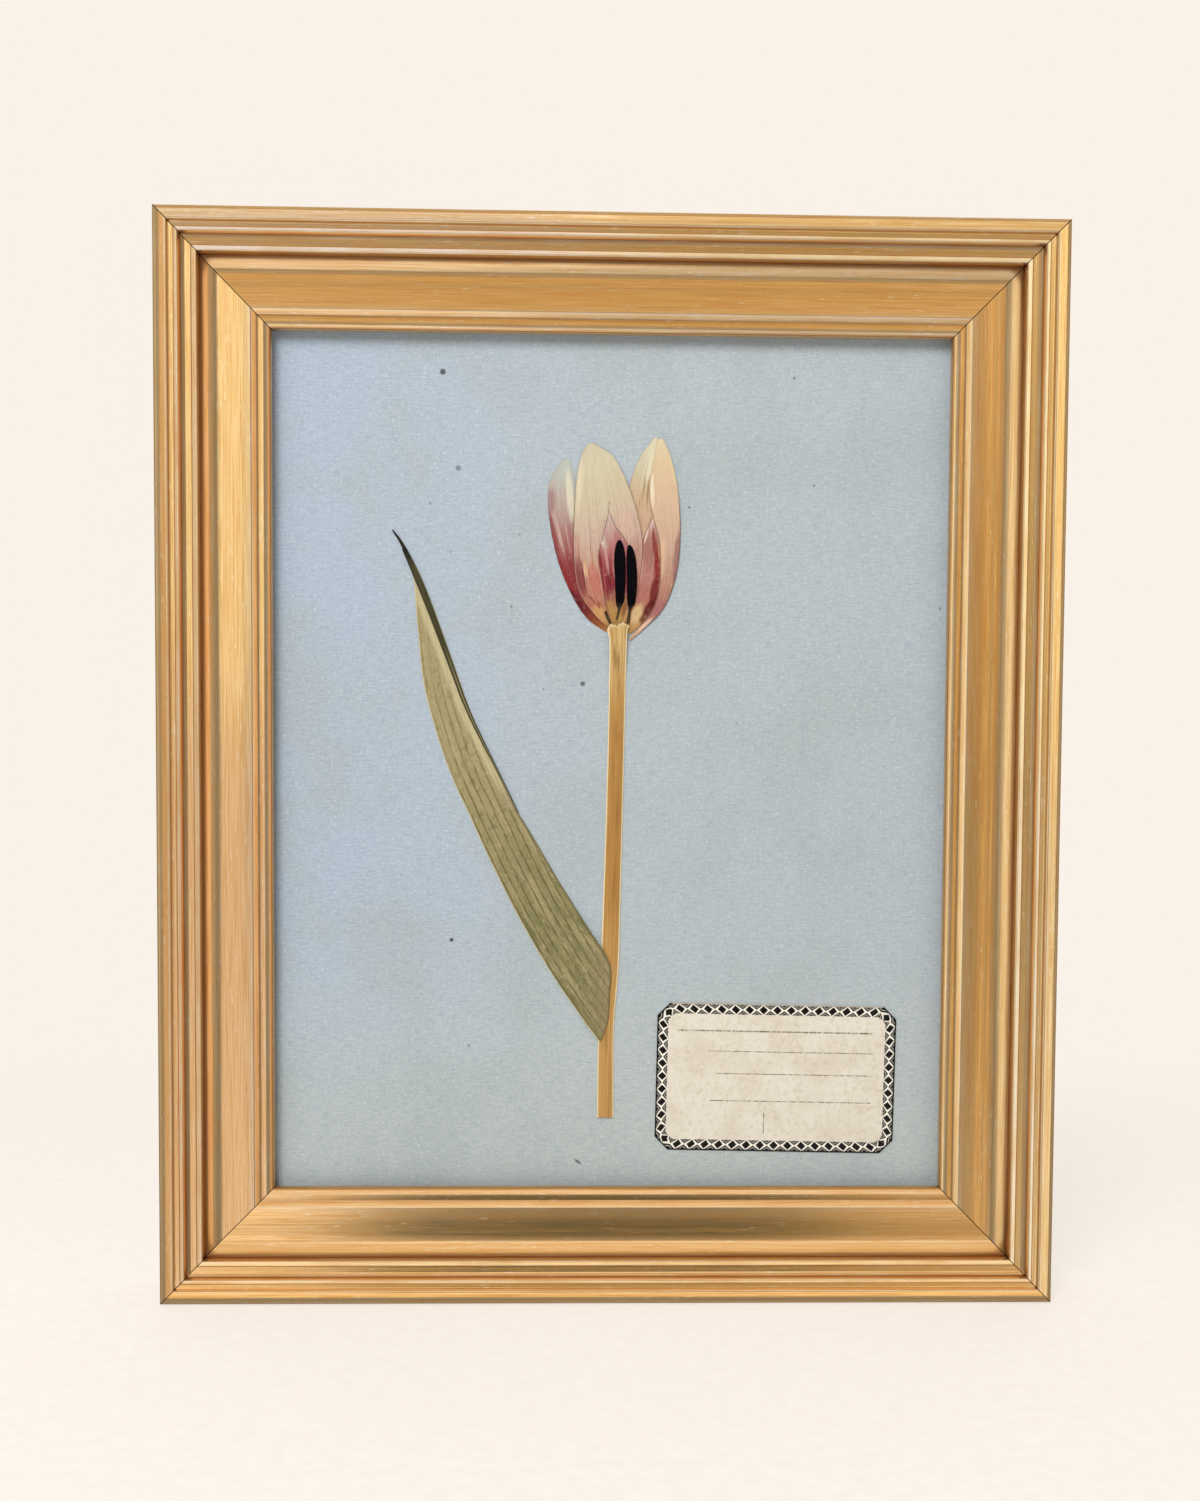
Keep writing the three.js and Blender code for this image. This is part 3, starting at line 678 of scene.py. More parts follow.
def petalFinish(look):
    material, tree, shader = finish("pressed_" + look["node"], look["roughness"], 0.3)
    uv = coords(tree, "UV")
    along = parted(uv)[1]
    streak = grain(mapped(uv, (26, 1.6, 1), (look["level"], 3 * look["level"], 0)), 1, 5, 0.62)
    vein = grain(mapped(uv, (34, 1.3, 1), (look["level"], 0, 0)), 1, 2, 0.5)
    crease = grain(mapped(onPaper(tree), (0.9, 1, 0.5), turn=(0, 0.6, 0)), 1, 2, 0.5, 0.6)
    mottle = grain(onPaper(tree), 0.8, 5, 0.6)
    shift = newNode("VectorMath", calc("SUBTRACT", streak, 0.5), (2.0, 0, 5), onPaper(tree),
                    operation="MULTIPLY_ADD").outputs[0]
    tone = ramp(plus(along, fade(streak, 0.3, 0.7, -0.05, 0.05)), look["stops"])
    code, amount, low, high = look["streak"]
    zone = times(fade(along, low, low + 0.12), fade(along, high, high - 0.3))
    tone = paint(tone, times(zone, fade(streak, 0.48, 0.68, 0, amount)), code)
    for right, up, wide, tall, lean, code, amount, streaky in look["patches"]:
        mask = times(spot(shift, (right, up), (wide, tall), lean, 0.5), amount)
        mask = times(mask, fade(streak, 0.3, 0.62, 1 - streaky, 1.0))
        tone = paint(tone, mask, code)
    for lines, thin, amount in ((vein, 0.035, 0.6), (crease, 0.018, 0.55)):
        hair = fade(apart(lines, 0.5), thin, 0, 0, amount)
        hair = times(hair, fade(along, 0.8, 0.4, 0.3, 1.0))
        tone = blend(hair, tone, tint(look["vein"]), "MULTIPLY")
    tone = coats(tone, look, (mottle, 0.52, 0.8, 0.14, "bloom"))
    # dark rims: browned petal edges, partly painted shadow where petals overlap
    outline = times(fade(along, 0.9, 0.6, look["tipLine"], 0.85), fade(along, 0.03, 0.16))
    outline = times(outline, fade(stored(tree, "fromRim"), 0.3, 0.08))
    tone = paint(tone, outline, look["edge"])
    cover(shader, tone, plus(vein, streak), 0.35, 0.12)
    return material


def addPetals():
    for number, petal in enumerate(petals):
        look = dict(petalLook, seed=number, **petal)

        def height(across, along, x, z):
            lift = layerHeight(look["level"]) - look["settle"] * smooth(along, look["settleFrom"], 1)
            foldsAcross, foldsAlong = look["folds"]
            fold = look["ripple"] * ripple(across * foldsAcross, along * foldsAlong, 1, number + 0.5)
            return lift + look["frontLift"] + fold

        bm = newSheet()
        rimLayer = bm.verts.layers.float.new("fromRim")
        toLeft, toRight = edgeDistance(look["left"]), edgeDistance(look["right"])
        for vert in pressedGrid(bm, look, height):
            vert[rimLayer] = min(toLeft(*placeOf(vert)), toRight(*placeOf(vert)))
        thicken(bm, look["thick"])
        showPiece("pressed_" + look["node"], bm, petalFinish(look), [look["node"]])


addPetals()
print("petals made")


# stamens
stamenLook = {
    "colour": "060409", "sheen": "120e1e", "pollen": "1e1726", "thread": "2b2118", "threadPale": "6b5a3a",
    "grid": (18, 60), "fray": 0.12, "lift": 0.08, "rim": 0.1, "full": 0.5, "groove": 0.2, "coarse": 0.02,
    "swells": (0.15, 0.3), "tapers": (0.93, 1), "grooveWidth": 0.07, "roundness": 0.6, "coarseSize": 0.6,
}
stamens = [
    {
        "name": "dried_stamen_left", "node": "stamen_left", "slot": "anther",
        "left": [(1, 42), (1.5, 45), (1, 47), (0.7, 53), (0.4, 59), (0.8, 63), (1.5, 64.6)],
        "right": [(1.5, 42.2), (2.6, 46), (3.4, 48), (3.7, 54), (3.6, 60), (3, 63.2), (2.2, 64.7)],
    },
    {
        "name": "dried_stamen_right", "node": "stamen_right", "slot": "anther",
        "left": [(4, 41.2), (4.5, 45), (4.15, 48), (4.1, 53), (3.9, 59), (4.1, 62.4), (4.4, 63.2)],
        "right": [(4.9, 41.2), (5.4, 45.2), (6.5, 47.4), (7, 54), (6.5, 59.8), (5.6, 62.6), (4.9, 63.3)],
    },
    {
        "name": "dried_filament", "node": "stamen_side", "slot": "filament", "grid": (8, 16), "fray": 0.03,
        "full": 0.08,
        "left": [(-0.6, 40.4), (-1.7, 42.6), (-2.4, 44.4)],
        "right": [(0.1, 40.6), (-0.9, 43), (-1.7, 44.8)],
    },
]


def stamenFinish(look):
    material, tree, shader = finish(look["name"], 0.75, 0.1)
    uv = coords(tree, "UV")
    pollen = grain(onPaper(tree), 3.5, 5, 0.7)
    rib = grain(uv, (16, 3, 1), 4, 0.6)
    tone = between(fade(rib, 0.5, 0.8, 0, 0.7), look, "colour", "sheen")
    tone = coats(tone, look, (pollen, 0.58, 0.75, 0.35, "pollen"))
    stalk = 1.0 if look["slot"] == "filament" else fade(parted(uv)[1], 0.24, 0.12)
    thread = between(fade(rib, 0.4, 0.7), look, "thread", "threadPale")
    cover(shader, blend(stalk, tone, thread), plus(pollen, rib), 0.5, 0.15)
    return material


def addStamens():
    base = layerHeight(layerLook["stamens"])
    for stamen in stamens:
        look = {**stamenLook, **stamen}

        def height(across, along, x, z):
            swell = look["full"] * smooth(along, *look["swells"]) * (1 - smooth(along, *look["tapers"]))
            crease = look["groove"] * math.exp(-((across - 0.5) / look["grooveWidth"]) ** 2)
            arch = max(math.sin(math.pi * across), 0.0) ** look["roundness"]
            coarse = look["coarse"] * ripple(x, z, look["coarseSize"], 4)
            return base + look["lift"] + look["rim"] * arch + swell * (arch - crease) + coarse

        bm = newSheet()
        verts = pressedGrid(bm, look, height)
        closeBelow(bm, verts, lambda x, z: base)
        showPiece(look["name"], bm, stamenFinish(look), [look["node"]])


addStamens()
print("stamens made")


# stem
stemLook = {
    "straw": "cba060", "pale": "eedcb2", "tan": "b07f3e", "brown": "8a5c2a", "top": "d8b87c",
    "grid": (26, 260), "crowding": 1.6, "fray": 0.06, "seed": 9, "thick": 0.3,
    "lift": 0.35, "overFlower": 0.3, "crown": 0.3, "ridges": 0.2, "fibres": 0.03, "fibreCount": (12, 14),
    "rises": (0.88, 0.96), "torn": [(0.35, 9, 0.6), (0.3, 23, 0)], "tornLean": -0.35, "tornFrom": 0.985,
    "left": [(-3.5, -100.8), (-3.4, -80), (-2.9, -60), (-2.2, -40), (-1.2, 0), (-0.8, 30), (-0.9, 36.5),
             (-1.4, 39.2), (-0.6, 40.4)],
    "right": [(1.3, -100.8), (1.2, -80), (1.5, -70), (2.5, -57.5), (2.9, -40), (3.6, 0), (4.1, 30),
              (4.3, 38.4), (4.7, 40.6), (3.4, 41.4)],
}


def stemFinish():
    look = stemLook
    material, tree, shader = finish("stem", 0.68, 0.35)
    uv = coords(tree, "UV")
    across, along, _ = parted(uv)
    fibre = grain(uv, (16, 5, 1), 5, 0.6)
    fine = grain(uv, (46, 8, 1), 3, 0.6)
    age = grain(uv, (2, 7, 1), 3, 0.5)
    rim = apart(across, 0.5)
    middle = times(fade(along, 0.15, 0.35), fade(along, 0.8, 0.6))
    tone = between(fade(along, 0.5, 0.85), look, "straw", "top")
    tone = paint(tone, times(middle, 0.7), look["tan"])
    tone = coats(tone, look, (fibre, 0.44, 0.62, 0.85, "tan"))
    tone = paint(tone, times(fade(age, 0.45, 0.7), fade(rim, 0.36, 0.2, 0, 0.6)), look["brown"])
    tone = coats(tone, look, (fine, 0.53, 0.7, 0.6, "brown"), (rim, 0.4, 0.45, 0.9, "pale"),
                 (along, 0.93, 0.99, 0.6, "pale"))
    cover(shader, tone, plus(fibre, fine), 0.5, 0.2)
    return material


# the stem's upper end lies over the flower
def stemLift(along):
    return (layerHeight(layerLook["stamens"]) + stemLook["overFlower"]) * smooth(along, *stemLook["rises"])


def addStem():
    def height(across, along, x, z):
        crown = stemLook["crown"] * max(math.sin(math.pi * across), 0.0) ** 0.5
        ridges = stemLook["ridges"] * math.sin(2 * math.pi * across) ** 2
        fibresAcross, fibresAlong = stemLook["fibreCount"]
        fibres = stemLook["fibres"] * ripple(across * fibresAcross, along * fibresAlong, 1, 3)
        return stemLift(along) + stemLook["lift"] + crown + ridges + fibres

    def tip(across, along):
        torn = sum(size * math.sin(pitch * across + start) for size, pitch, start in stemLook["torn"])
        return (torn + stemLook["tornLean"] * across) * smooth(along, stemLook["tornFrom"], 1)

    bm = newSheet()
    pressedGrid(bm, dict(stemLook, tip=tip), height)
    thicken(bm, stemLook["thick"])
    showPiece("dried_stem", bm, stemFinish(), ["stem"])


addStem()
print("stem made")


# leaf, with its veins raised and a strip rolled over along the upper edge
leafLook = {
    "olive": "9a8c61", "tan": "b2a278", "green": "807b4e", "dark": "67603c", "vein": "625a38",
    "pale": "d8cba2", "purple": "97825f", "tipDark": "17130c",
    "rollDark": "2a2615", "rollEdge": "6a6540", "rollLine": "a3966c",
    "grid": (78, 150), "veinGap": 2.15, "fray": 0.05, "seed": 5, "thick": 0.16,
    "low": 0.05, "overStem": 1.05, "lift": 0.25, "veinHeight": 0.06, "wave": 0.08,
    "waveSize": 9, "rises": (-11, -3.6), "flatFrom": (-14, -5), "tipRoll": (0.85, 50, 60),
    "left": [(-2.9, -78.8), (-7.6, -72.6), (-16, -60.5), (-25, -45.3), (-33.4, -29), (-40.3, -14.2),
             (-46, -1.6), (-50.3, 11), (-53.7, 24.7), (-55.3, 40), (-56.6, 54), (-59.7, 62.1),
             (-62.5, 66.8)],
    "right": [(-2.5, -78.2), (-0.5, -72), (-0.1, -65), (-0.3, -55.5), (-7.1, -44.7), (-15, -32.1),
              (-22.4, -19.5), (-28.7, -9.2), (-34.5, 3.7), (-40.3, 16.3), (-45, 29.5), (-49.2, 41.1),
              (-53.9, 53.2), (-58.7, 62.4), (-62.2, 67)],
    "roll": {
        "grid": (10, 120), "seed": 6, "fray": 0.04, "lift": 0.42, "full": 0.3, "under": 0.2,
        "left": [(-26.8, -12.6), (-32.2, -2.2), (-37.8, 8.4), (-42.2, 17.6), (-46.6, 29), (-51.4, 41.4),
                 (-55.8, 52.4), (-59.6, 61.4)],
        "right": [(-26.2, -13.2), (-31.3, -2.6), (-37.1, 9.2), (-40.9, 17.6), (-45.2, 29.5),
                  (-49.4, 41.1), (-54.1, 53.2), (-58.9, 62)],
    },
}


# the leaf's base lies over the stem
def leafLift(x):
    return leafLook["low"] + leafLook["overStem"] * smooth(x, *leafLook["rises"])


def leafFinish():
    look = leafLook
    material, tree, shader = finish("leaf", 0.66, 0.35)
    uv = coords(tree, "UV")
    place = onPaper(tree)
    across = parted(uv)[0]
    x, _, z = parted(place)
    fromEdge, fromRoll = stored(tree, "fromEdge"), stored(tree, "fromRoll")
    streak = grain(uv, (26, 4, 1), 6, 0.7)
    cells = grain(uv, (40, 90, 1), 4, 0.65)
    wrinkle = grain(uv, (6, 60, 1), 4, 0.6, 0.4)
    dashes = grain(uv, (30, 26, 1), 3, 0.6)
    blotch = grain(uv, (5, 12, 1), 5, 0.65)
    tone = between(fade(streak, 0.34, 0.66), look, "olive", "tan")
    tone = paint(tone, times(fade(z, 12, -48), fade(blotch, 0.4, 0.6, 0.5, 1)), look["green"])
    tone = coats(tone, look, (blotch, 0.5, 0.34, 0.4, "tan"), (wrinkle, 0.52, 0.7, 0.55, "dark"))
    drift = plus(fromEdge, fade(blotch, 0.3, 0.7, -0.15, 0.15))
    wave = calc("SINE", times(drift, 2 * math.pi / look["veinGap"]))
    lines = times(fade(wave, 0.45, 1.0), fade(dashes, 0.38, 0.56, 0.3, 1))
    tone = paint(tone, times(lines, fade(z, 40, -20, 0.3, 0.9)), look["vein"])
    tone = paint(tone, times(fade(dashes, 0.6, 0.74), fade(z, 50, -40, 0.2, 0.6)), look["dark"])
    tone = coats(tone, look, (cells, 0.52, 0.74, 0.55, "pale"))
    tone = paint(tone, times(fade(x, -9, -1), fade(blotch, 0.35, 0.6, 0.1, 0.5)), look["purple"])
    tone = coats(tone, look, (across, 0.945, 0.985, 0.7, "dark"))
    # painted highlight: a pale strip beside the rolled edge
    tone = paint(tone, times(fade(fromRoll, 2.6, 1.2, 0, 0.5), fade(z, -16, 0)), look["pale"])
    stain = times(fade(fromEdge, 2.8, 0.6, 0, 0.7), fade(z, -26, -42))
    tone = paint(tone, times(stain, fade(blotch, 0.42, 0.56)), look["dark"])
    tone = coats(tone, look, (fromEdge, 0.45, 0.15, 0.7, "pale"))
    fold = times(fade(apart(across, 0.55), 0.16, 0.06, 0, 0.7), fade(z, 38, 22))
    dark = between(fade(streak, 0.4, 0.7), look, "rollDark", "rollEdge")
    tone = blend(stored(tree, "rolled"), tone, paint(dark, fold, look["rollLine"]))
    tone = coats(tone, look, (z, 55, 62, 0.9, "tipDark"))
    cover(shader, tone, plus(streak, cells), 0.45, 0.15)
    return material


def addLeaf():
    look, roll = leafLook, leafLook["roll"]
    toEdge, toRoll = edgeDistance(look["left"]), edgeDistance(roll["left"])

    def height(across, along, x, z):
        vein = look["veinHeight"] * max(math.sin(2 * math.pi * toEdge(x, z) / look["veinGap"]), 0) ** 2
        wave = look["wave"] * ripple(x, z, look["waveSize"], 2) * (1 - smooth(x, *look["flatFrom"]))
        return leafLift(x) + look["lift"] + vein + wave

    def rollHeight(across, along, x, z):
        return leafLift(x) + roll["lift"] + roll["full"] * max(math.sin(math.pi * across), 0) ** 0.6

    bm = newSheet()
    newLayer = bm.verts.layers.float.new
    rolled, edgeLayer, rollLayer = newLayer("rolled"), newLayer("fromEdge"), newLayer("fromRoll")
    most, *reach = look["tipRoll"]
    for vert in pressedGrid(bm, look, height):
        vert[rolled] = most * smooth(placeOf(vert)[1], *reach)
    thicken(bm, look["thick"])
    blade = set(bm.verts)
    verts = pressedGrid(bm, roll, rollHeight)
    closeBelow(bm, verts, lambda x, z: leafLift(x) + roll["under"])
    for vert in bm.verts:
        vert[edgeLayer], vert[rollLayer] = toEdge(*placeOf(vert)), toRoll(*placeOf(vert))
        if vert not in blade:
            vert[rolled] = 1.0
    showPiece("dried_leaf", bm, leafFinish(), ["leaf"])


addLeaf()
print("leaf made")


# label card: its border is printed on a ring of faces with a map of its own
labelLook = {
    "card": "e6dfd0", "aged": "d6cab4", "fibre": "c4b699", "mottle": "cbbd9f", "wear": "c9bc9f",
    "ground": "f3eddf", "ink": "15110f", "rule": "6f6355",
    "width": 69.2, "height": 42.9, "clip": 3.8, "thick": 0.3, "x": 48.1, "z": -89.3, "tilt": -1.0,
    "gap": 0.05, "line": 0.4, "upperLine": 0.4, "band": 2.75, "longRepeats": 15, "shortRepeats": 9,
    "lozenge": (3.1, 2.1), "mark": (2.25, 2.05),  # how fast each narrows along and across the band
    "markLine": 0.52, "ruleFade": 0.4, "ruleCore": 0.4,
    "rules": [  # down, from, to, half its width
        (8.0, 5.75, 62.8, 0.3), (13.9, 14.8, 62.8, 0.18), (20.4, 17.3, 62.8, 0.18), (28.3, 15.5, 62.8, 0.2),
    ],
    "upright": (31.5, 31.5, 38.0, 0.2),  # right, from, to, half its width
}


def labelFinish():
    look = labelLook
    material, tree, shader = finish("label", 0.85, 0.25)
    run, rise, _ = parted(coords(tree, "UV"))
    place = onPaper(tree)
    wear = grain(place, 2.6, 4, 0.65)
    mottle = grain(place, 0.75, 4, 0.65)
    cloud = grain(place, 0.09, 4, 0.6)
    fibre = grain(place, (1.5, 1, 3), 4, 0.6)
    tone = between(fade(cloud, 0.4, 0.7, 0, 0.6), look, "card", "aged")
    tone = coats(tone, look, (fibre, 0.5, 0.75, 0.25, "fibre"), (mottle, 0.48, 0.7, 0.55, "mottle"),
                 (wear, 0.52, 0.74, 0.4, "wear"))

    # lozenges, with small marks between them along both sides of the band
    band = stored(tree, "band")
    cell, mid = apart(calc("FRACT", run), 0.5), apart(rise, 0.5)
    lozenge, mark = [plus(times(along, narrows[0]), times(over, narrows[1])) for along, over, narrows in (
        (cell, mid, look["lozenge"]),
        (calc("SUBTRACT", 0.5, cell), calc("SUBTRACT", 0.5, mid), look["mark"]),
    )]
    mark = times(fade(mark, 1.0, 0.88), fade(apart(mark, look["markLine"]), 0.03, 0.09, 0.3, 1))
    ink = times(calc("MAXIMUM", fade(lozenge, 1.05, 0.9), mark), band)
    ink = calc("MAXIMUM", ink, stored(tree, "line"))
    tone = paint(tone, band, look["ground"])

    # ruled lines, in millimetres from the card's top left corner
    tilt = (0, -math.radians(look["tilt"]), 0)
    right, _, up = parted(mapped(place, (1, 1, 1), (look["x"], 0, look["z"]), tilt, "TEXTURE"))
    left = plus(right, look["width"] / 2)
    down = calc("SUBTRACT", look["height"] / 2, up)
    dots = grain(place, (2.2, 1, 0.2), 2, 0.5)
    lines = [(down, left, *rule) for rule in look["rules"]] + [(left, down, *look["upright"])]
    rules = 0.0
    for side, way, depth, start, end, half in lines:
        inside = times(fade(way, start, start + look["ruleFade"]), fade(way, end, end - look["ruleFade"]))
        stroke = times(fade(apart(side, depth), half, look["ruleCore"] * half), inside)
        rules = calc("MAXIMUM", rules, stroke)
    tone = paint(tone, times(rules, fade(dots, 0.4, 0.55, 0.25, 0.95)), look["rule"])
    tone = paint(tone, times(ink, fade(wear, 0.26, 0.36, 0.4, 1.0)), look["ink"])
    cover(shader, tone, fibre, 0.2, 0.06)
    return material


def addLabel():
    look = labelLook
    bm = bmesh.new()
    uvLayer = bm.loops.layers.uv.new("border")
    bandLayer = bm.faces.layers.float.new("band")
    lineLayer = bm.faces.layers.float.new("line")
    bmesh.ops.create_grid(bm, x_segments=1, y_segments=1, size=0.5)
    bmesh.ops.scale(bm, vec=(look["width"] * mm, look["height"] * mm, 1), verts=bm.verts)
    bmesh.ops.bevel(bm, geom=bm.verts[:], offset=look["clip"] * mm, segments=1, profile=0.5,
                    affect="VERTICES", material=-1)
    middle = bm.faces[:][0]
    for width, layer in ((look["line"], lineLayer), (look["band"], bandLayer)):
        ring = bmesh.ops.inset_region(bm, faces=[middle], thickness=width * mm, use_boundary=True,
                                      use_even_offset=True)["faces"]
        upper = max(ring, key=lambda face: face.calc_center_median().y)
        for face in ring:
            face[layer] = look["upperLine"] if layer == lineLayer and face == upper else 1.0
    inner = set(middle.verts)
    follows = {}  # the edges along the band, by how often the pattern repeats there
    for face in [f for f in bm.faces if f[bandLayer]]:
        side = face.calc_center_median()
        longSide = abs(side.x) < look["width"] / 2 * mm - look["clip"] * mm
        shortSide = abs(side.y) < look["height"] / 2 * mm - look["clip"] * mm
        repeats = look["longRepeats"] if longSide else look["shortRepeats"] if shortSide else 1
        for loop in face.loops:
            isInner = loop.vert in inner
            follower = loop.link_loop_next.vert if isInner else loop.link_loop_prev.vert
            starts = (follower in inner) != isInner
            loop[uvLayer].uv = (0.0 if starts else repeats, 1.0 if isInner else 0.0)
        follows.setdefault(repeats, []).extend(e for e in face.edges if len(inner.intersection(e.verts)) != 1)
    for repeats, edges in follows.items():
        bmesh.ops.subdivide_edges(bm, edges=list(set(edges)), cuts=repeats - 1, use_grid_fill=True)
    edges = [e for e in bm.edges if e.is_boundary]
    grown = bmesh.ops.extrude_edge_only(bm, edges=edges)["geom"]
    bmesh.ops.translate(bm, verts=only(bmesh.types.BMVert, grown), vec=(0, 0, -look["thick"] * mm))
    bmesh.ops.holes_fill(bm, edges=only(bmesh.types.BMEdge, grown), sides=0)
    front = paperFace - (look["thick"] + look["gap"]) * mm
    place = Matrix.Translation((centreX + look["x"] * mm, front, centreZ + look["z"] * mm))
    place @= Matrix.Rotation(-math.radians(look["tilt"]), 4, "Y") @ Matrix.Rotation(math.pi / 2, 4, "X")
    bmesh.ops.transform(bm, matrix=place, verts=bm.verts)
    showPiece("specimen_label", bm, labelFinish(), ["label"])


addLabel()
print("label made")


# steel fittings on the back
steelLook = {
    "zinc": "a9abad", "bright": "c9cbcc", "dull": "7d7f80", "rust": "7a5a3c",
    "ease": 0.09, "easeSteps": 2, "flatAngle": 2, "cornerAngle": 30, "sharpAngle": 50,
    "shank": 0.7, "crown": 0.9, "tip": 1.5, "turns": 28, "seat": 0.93, "rim": 0.2, "headAngles": (25, 50, 70),
}


def steelFinish():
    look = steelLook
    material, tree, shader = finish("steel", more={"Metallic": 0.9})
    place = mapped(coords(tree, "Object"), (1000, 1000, 1000))
    spangle = grain(place, 0.45, 2, 0.5)
    brushed = grain(place, (0.25, 3, 6), 4, 0.6)
    spots = grain(place, 1.1, 4, 0.6)
    tone = between(fade(spangle, 0.4, 0.62), look, "dull", "zinc")
    tone = coats(tone, look, (brushed, 0.5, 0.75, 0.6, "bright"), (spots, 0.66, 0.76, 0.5, "rust"))
    wire(fade(spangle, 0.3, 0.7, 0.3, 0.48), shader.inputs["Roughness"])
    cover(shader, tone, brushed, 0.2, 0.05)
    return material


# a copy of a fitting with its edges eased
def easedFitting(node):
    bm = bmesh.new()
    bm.from_mesh(frame["nodes"][node].data)
    bmesh.ops.remove_doubles(bm, verts=bm.verts, dist=mergeReach)
    flat, bend = [math.radians(steelLook[name]) for name in ("flatAngle", "cornerAngle")]
    bmesh.ops.dissolve_limit(bm, angle_limit=flat, verts=bm.verts, edges=bm.edges)
    corners = [e for e in bm.edges if e.is_manifold and e.calc_face_angle(0.0) > bend]
    bmesh.ops.bevel(bm, geom=corners, offset=steelLook["ease"] * mm, segments=steelLook["easeSteps"],
                    profile=0.5, affect="EDGES", material=-1, clamp_overlap=True)
    return bm


# nail, spun from half of its outline
def nailMesh(node):
    low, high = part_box(node)
    middle = Vector(((low.x + high.x) / 2, 0, (low.z + high.z) / 2))
    radius = (high.x - low.x) / 2
    shank, crown, tip = [steelLook[size] * mm for size in ("shank", "crown", "tip")]
    seat, rim = high.y - crown, steelLook["rim"]
    outline = [(0, low.y), (shank, low.y + tip), (shank, seat), (steelLook["seat"] * radius, seat),
               (radius, seat + rim * crown)]
    outline += [(radius * math.cos(a), seat + crown * (rim + (1 - rim) * math.sin(a)))
                for a in np.radians(steelLook["headAngles"])] + [(0, high.y)]
    bm = bmesh.new()
    verts = [bm.verts.new((middle.x + r, y, middle.z)) for r, y in outline]
    edges = [bm.edges.new(pair) for pair in zip(verts, verts[1:])]
    bmesh.ops.spin(bm, geom=verts + edges, cent=middle, axis=(0, 1, 0), angle=2 * math.pi,
                   steps=steelLook["turns"], use_merge=True)
    bmesh.ops.remove_doubles(bm, verts=bm.verts, dist=mergeReach)
    bmesh.ops.recalc_face_normals(bm, faces=bm.faces)
    return bm


def addSteel():
    steel = steelFinish()
    for node in ["hanger"] + ["point_%d" % number for number in range(1, 9)]:
        showPiece("steel_" + node, easedFitting(node), steel, [node], steelLook["sharpAngle"])
    for node in ("hanger_nail_left", "hanger_nail_right"):
        showPiece("steel_" + node, nailMesh(node), steel, [node], steelLook["sharpAngle"])


addSteel()
print("steel fittings made")


# studio: a pale floor, a soft key light and a room that shows only in reflections
roomLook = {
    "backdrop": "faf2e8", "floor": "a5a09b", "floorSpeck": "ffffff", "floorGlow": 0.66, "floorReach": 2.4,
    "floorFade": (0.10, 0.42), "floorOval": (0.55, 1, 0), "floorDrop": 0.0002, "base": ("f6f8ff", 0.26),
    "glows": [  # azimuth to the right of the front, elevation, spread, colour, strength
        (-50, 6, 34, "f8faff", 0.35), (60, 8, 34, "ffe8d0", 0.2), (0, 62, 44, "ffe0b8", 0.35),
        (0, -64, 36, "f8f4ff", 0.14), (180, 22, 82, "fbf8f4", 0.7),
    ],
    "shades": [(2, -1, 21, "15130a", 0.97)],  # the dim side of the room, straight in front
    "key": {"place": (-0.33, -1.2, 0.53), "size": 0.7, "power": 14.5, "colour": "fdfdff"},
    "cards": {  # by rail: from and to in degrees up or right, glow, colour, from and to along the rail
        "rail_top": [
            (-77, -35, 0.42, "e2e5ff"), (-77, -35, 0.35, "fff0e0", -36, -12), (-28, -17, 0.2, "ffe0b0"),
            (-15, 4, 0.62, "ffdca0"), (7, 30, 0.82, "e2e4ff", -33, 0), (7, 30, 0.66, "fff0cc", 0, 33),
        ],
        "rail_bottom": [
            (-19, -8, 1.08, "ffe4b4"), (-6, 4, 0.04, "f0ffa0"), (-7, 16, 0.9, "fff0e6", -34, -11),
            (-6, 16, 0.45, "ffe0b8", 12, 32), (5, 17, 0.16, "ffe8c0"), (19, 31, 0.8, "fff0ea"),
            (31, 52, 0.4, "fff0e4"), (52, 75, 0.3, "ffe0b0"),
        ],
        "rail_left": [
            (-17, -8, 0.6, "ffd6a0"), (-6, 16, 0.8, "fff0f4", -33, 2), (-6, 16, 1.06, "fffae8", 2, 33),
            (53, 79, 0.55, "ffc488"),
        ],
        "rail_right": [
            (-86, -44, 0.45, "fff6e6"), (-14, -4, 0.3, "ffdcac", -33, 0),
            (-14, -4, 0.42, "ffd080", 0, 33), (-4, 1, 0.85, "ffdc9c"), (5, 26, 0.9, "f6f4f0", -33, 0),
            (5, 26, 1.0, "fff6d4", 0, 33),
        ],
    },
    "cardReach": 1.0, "cardAlong": (-33, 33),
}


def towards(azimuth, elevation):
    a, e = math.radians(azimuth), math.radians(elevation)
    return (math.sin(a) * math.cos(e), -math.cos(a) * math.cos(e), math.sin(e))


def addRoom():
    world = bpy.data.worlds.new("room")
    world.use_nodes = True
    bpy.context.scene.world = world
    tree = world.node_tree
    shader = tree.nodes["Background"]
    sight = coords(tree, "Generated")

    def glow(azimuth, elevation, spread):
        facing = measured("DOT_PRODUCT", sight, towards(azimuth, elevation))
        return fade(facing, math.cos(math.radians(spread)), 1.0)

    tone = tint(*roomLook["base"])
    for azimuth, elevation, spread, code, strength in roomLook["glows"]:
        tone = blend(glow(azimuth, elevation, spread), tone, tint(code, strength), "ADD")
    for azimuth, elevation, spread, code, strength in roomLook["shades"]:
        dark = times(glow(azimuth, elevation, spread), strength)
        tone = paint(tone, dark, code)
    wire(paint(tone, cameraRay(tree), roomLook["backdrop"]), shader.inputs["Color"])


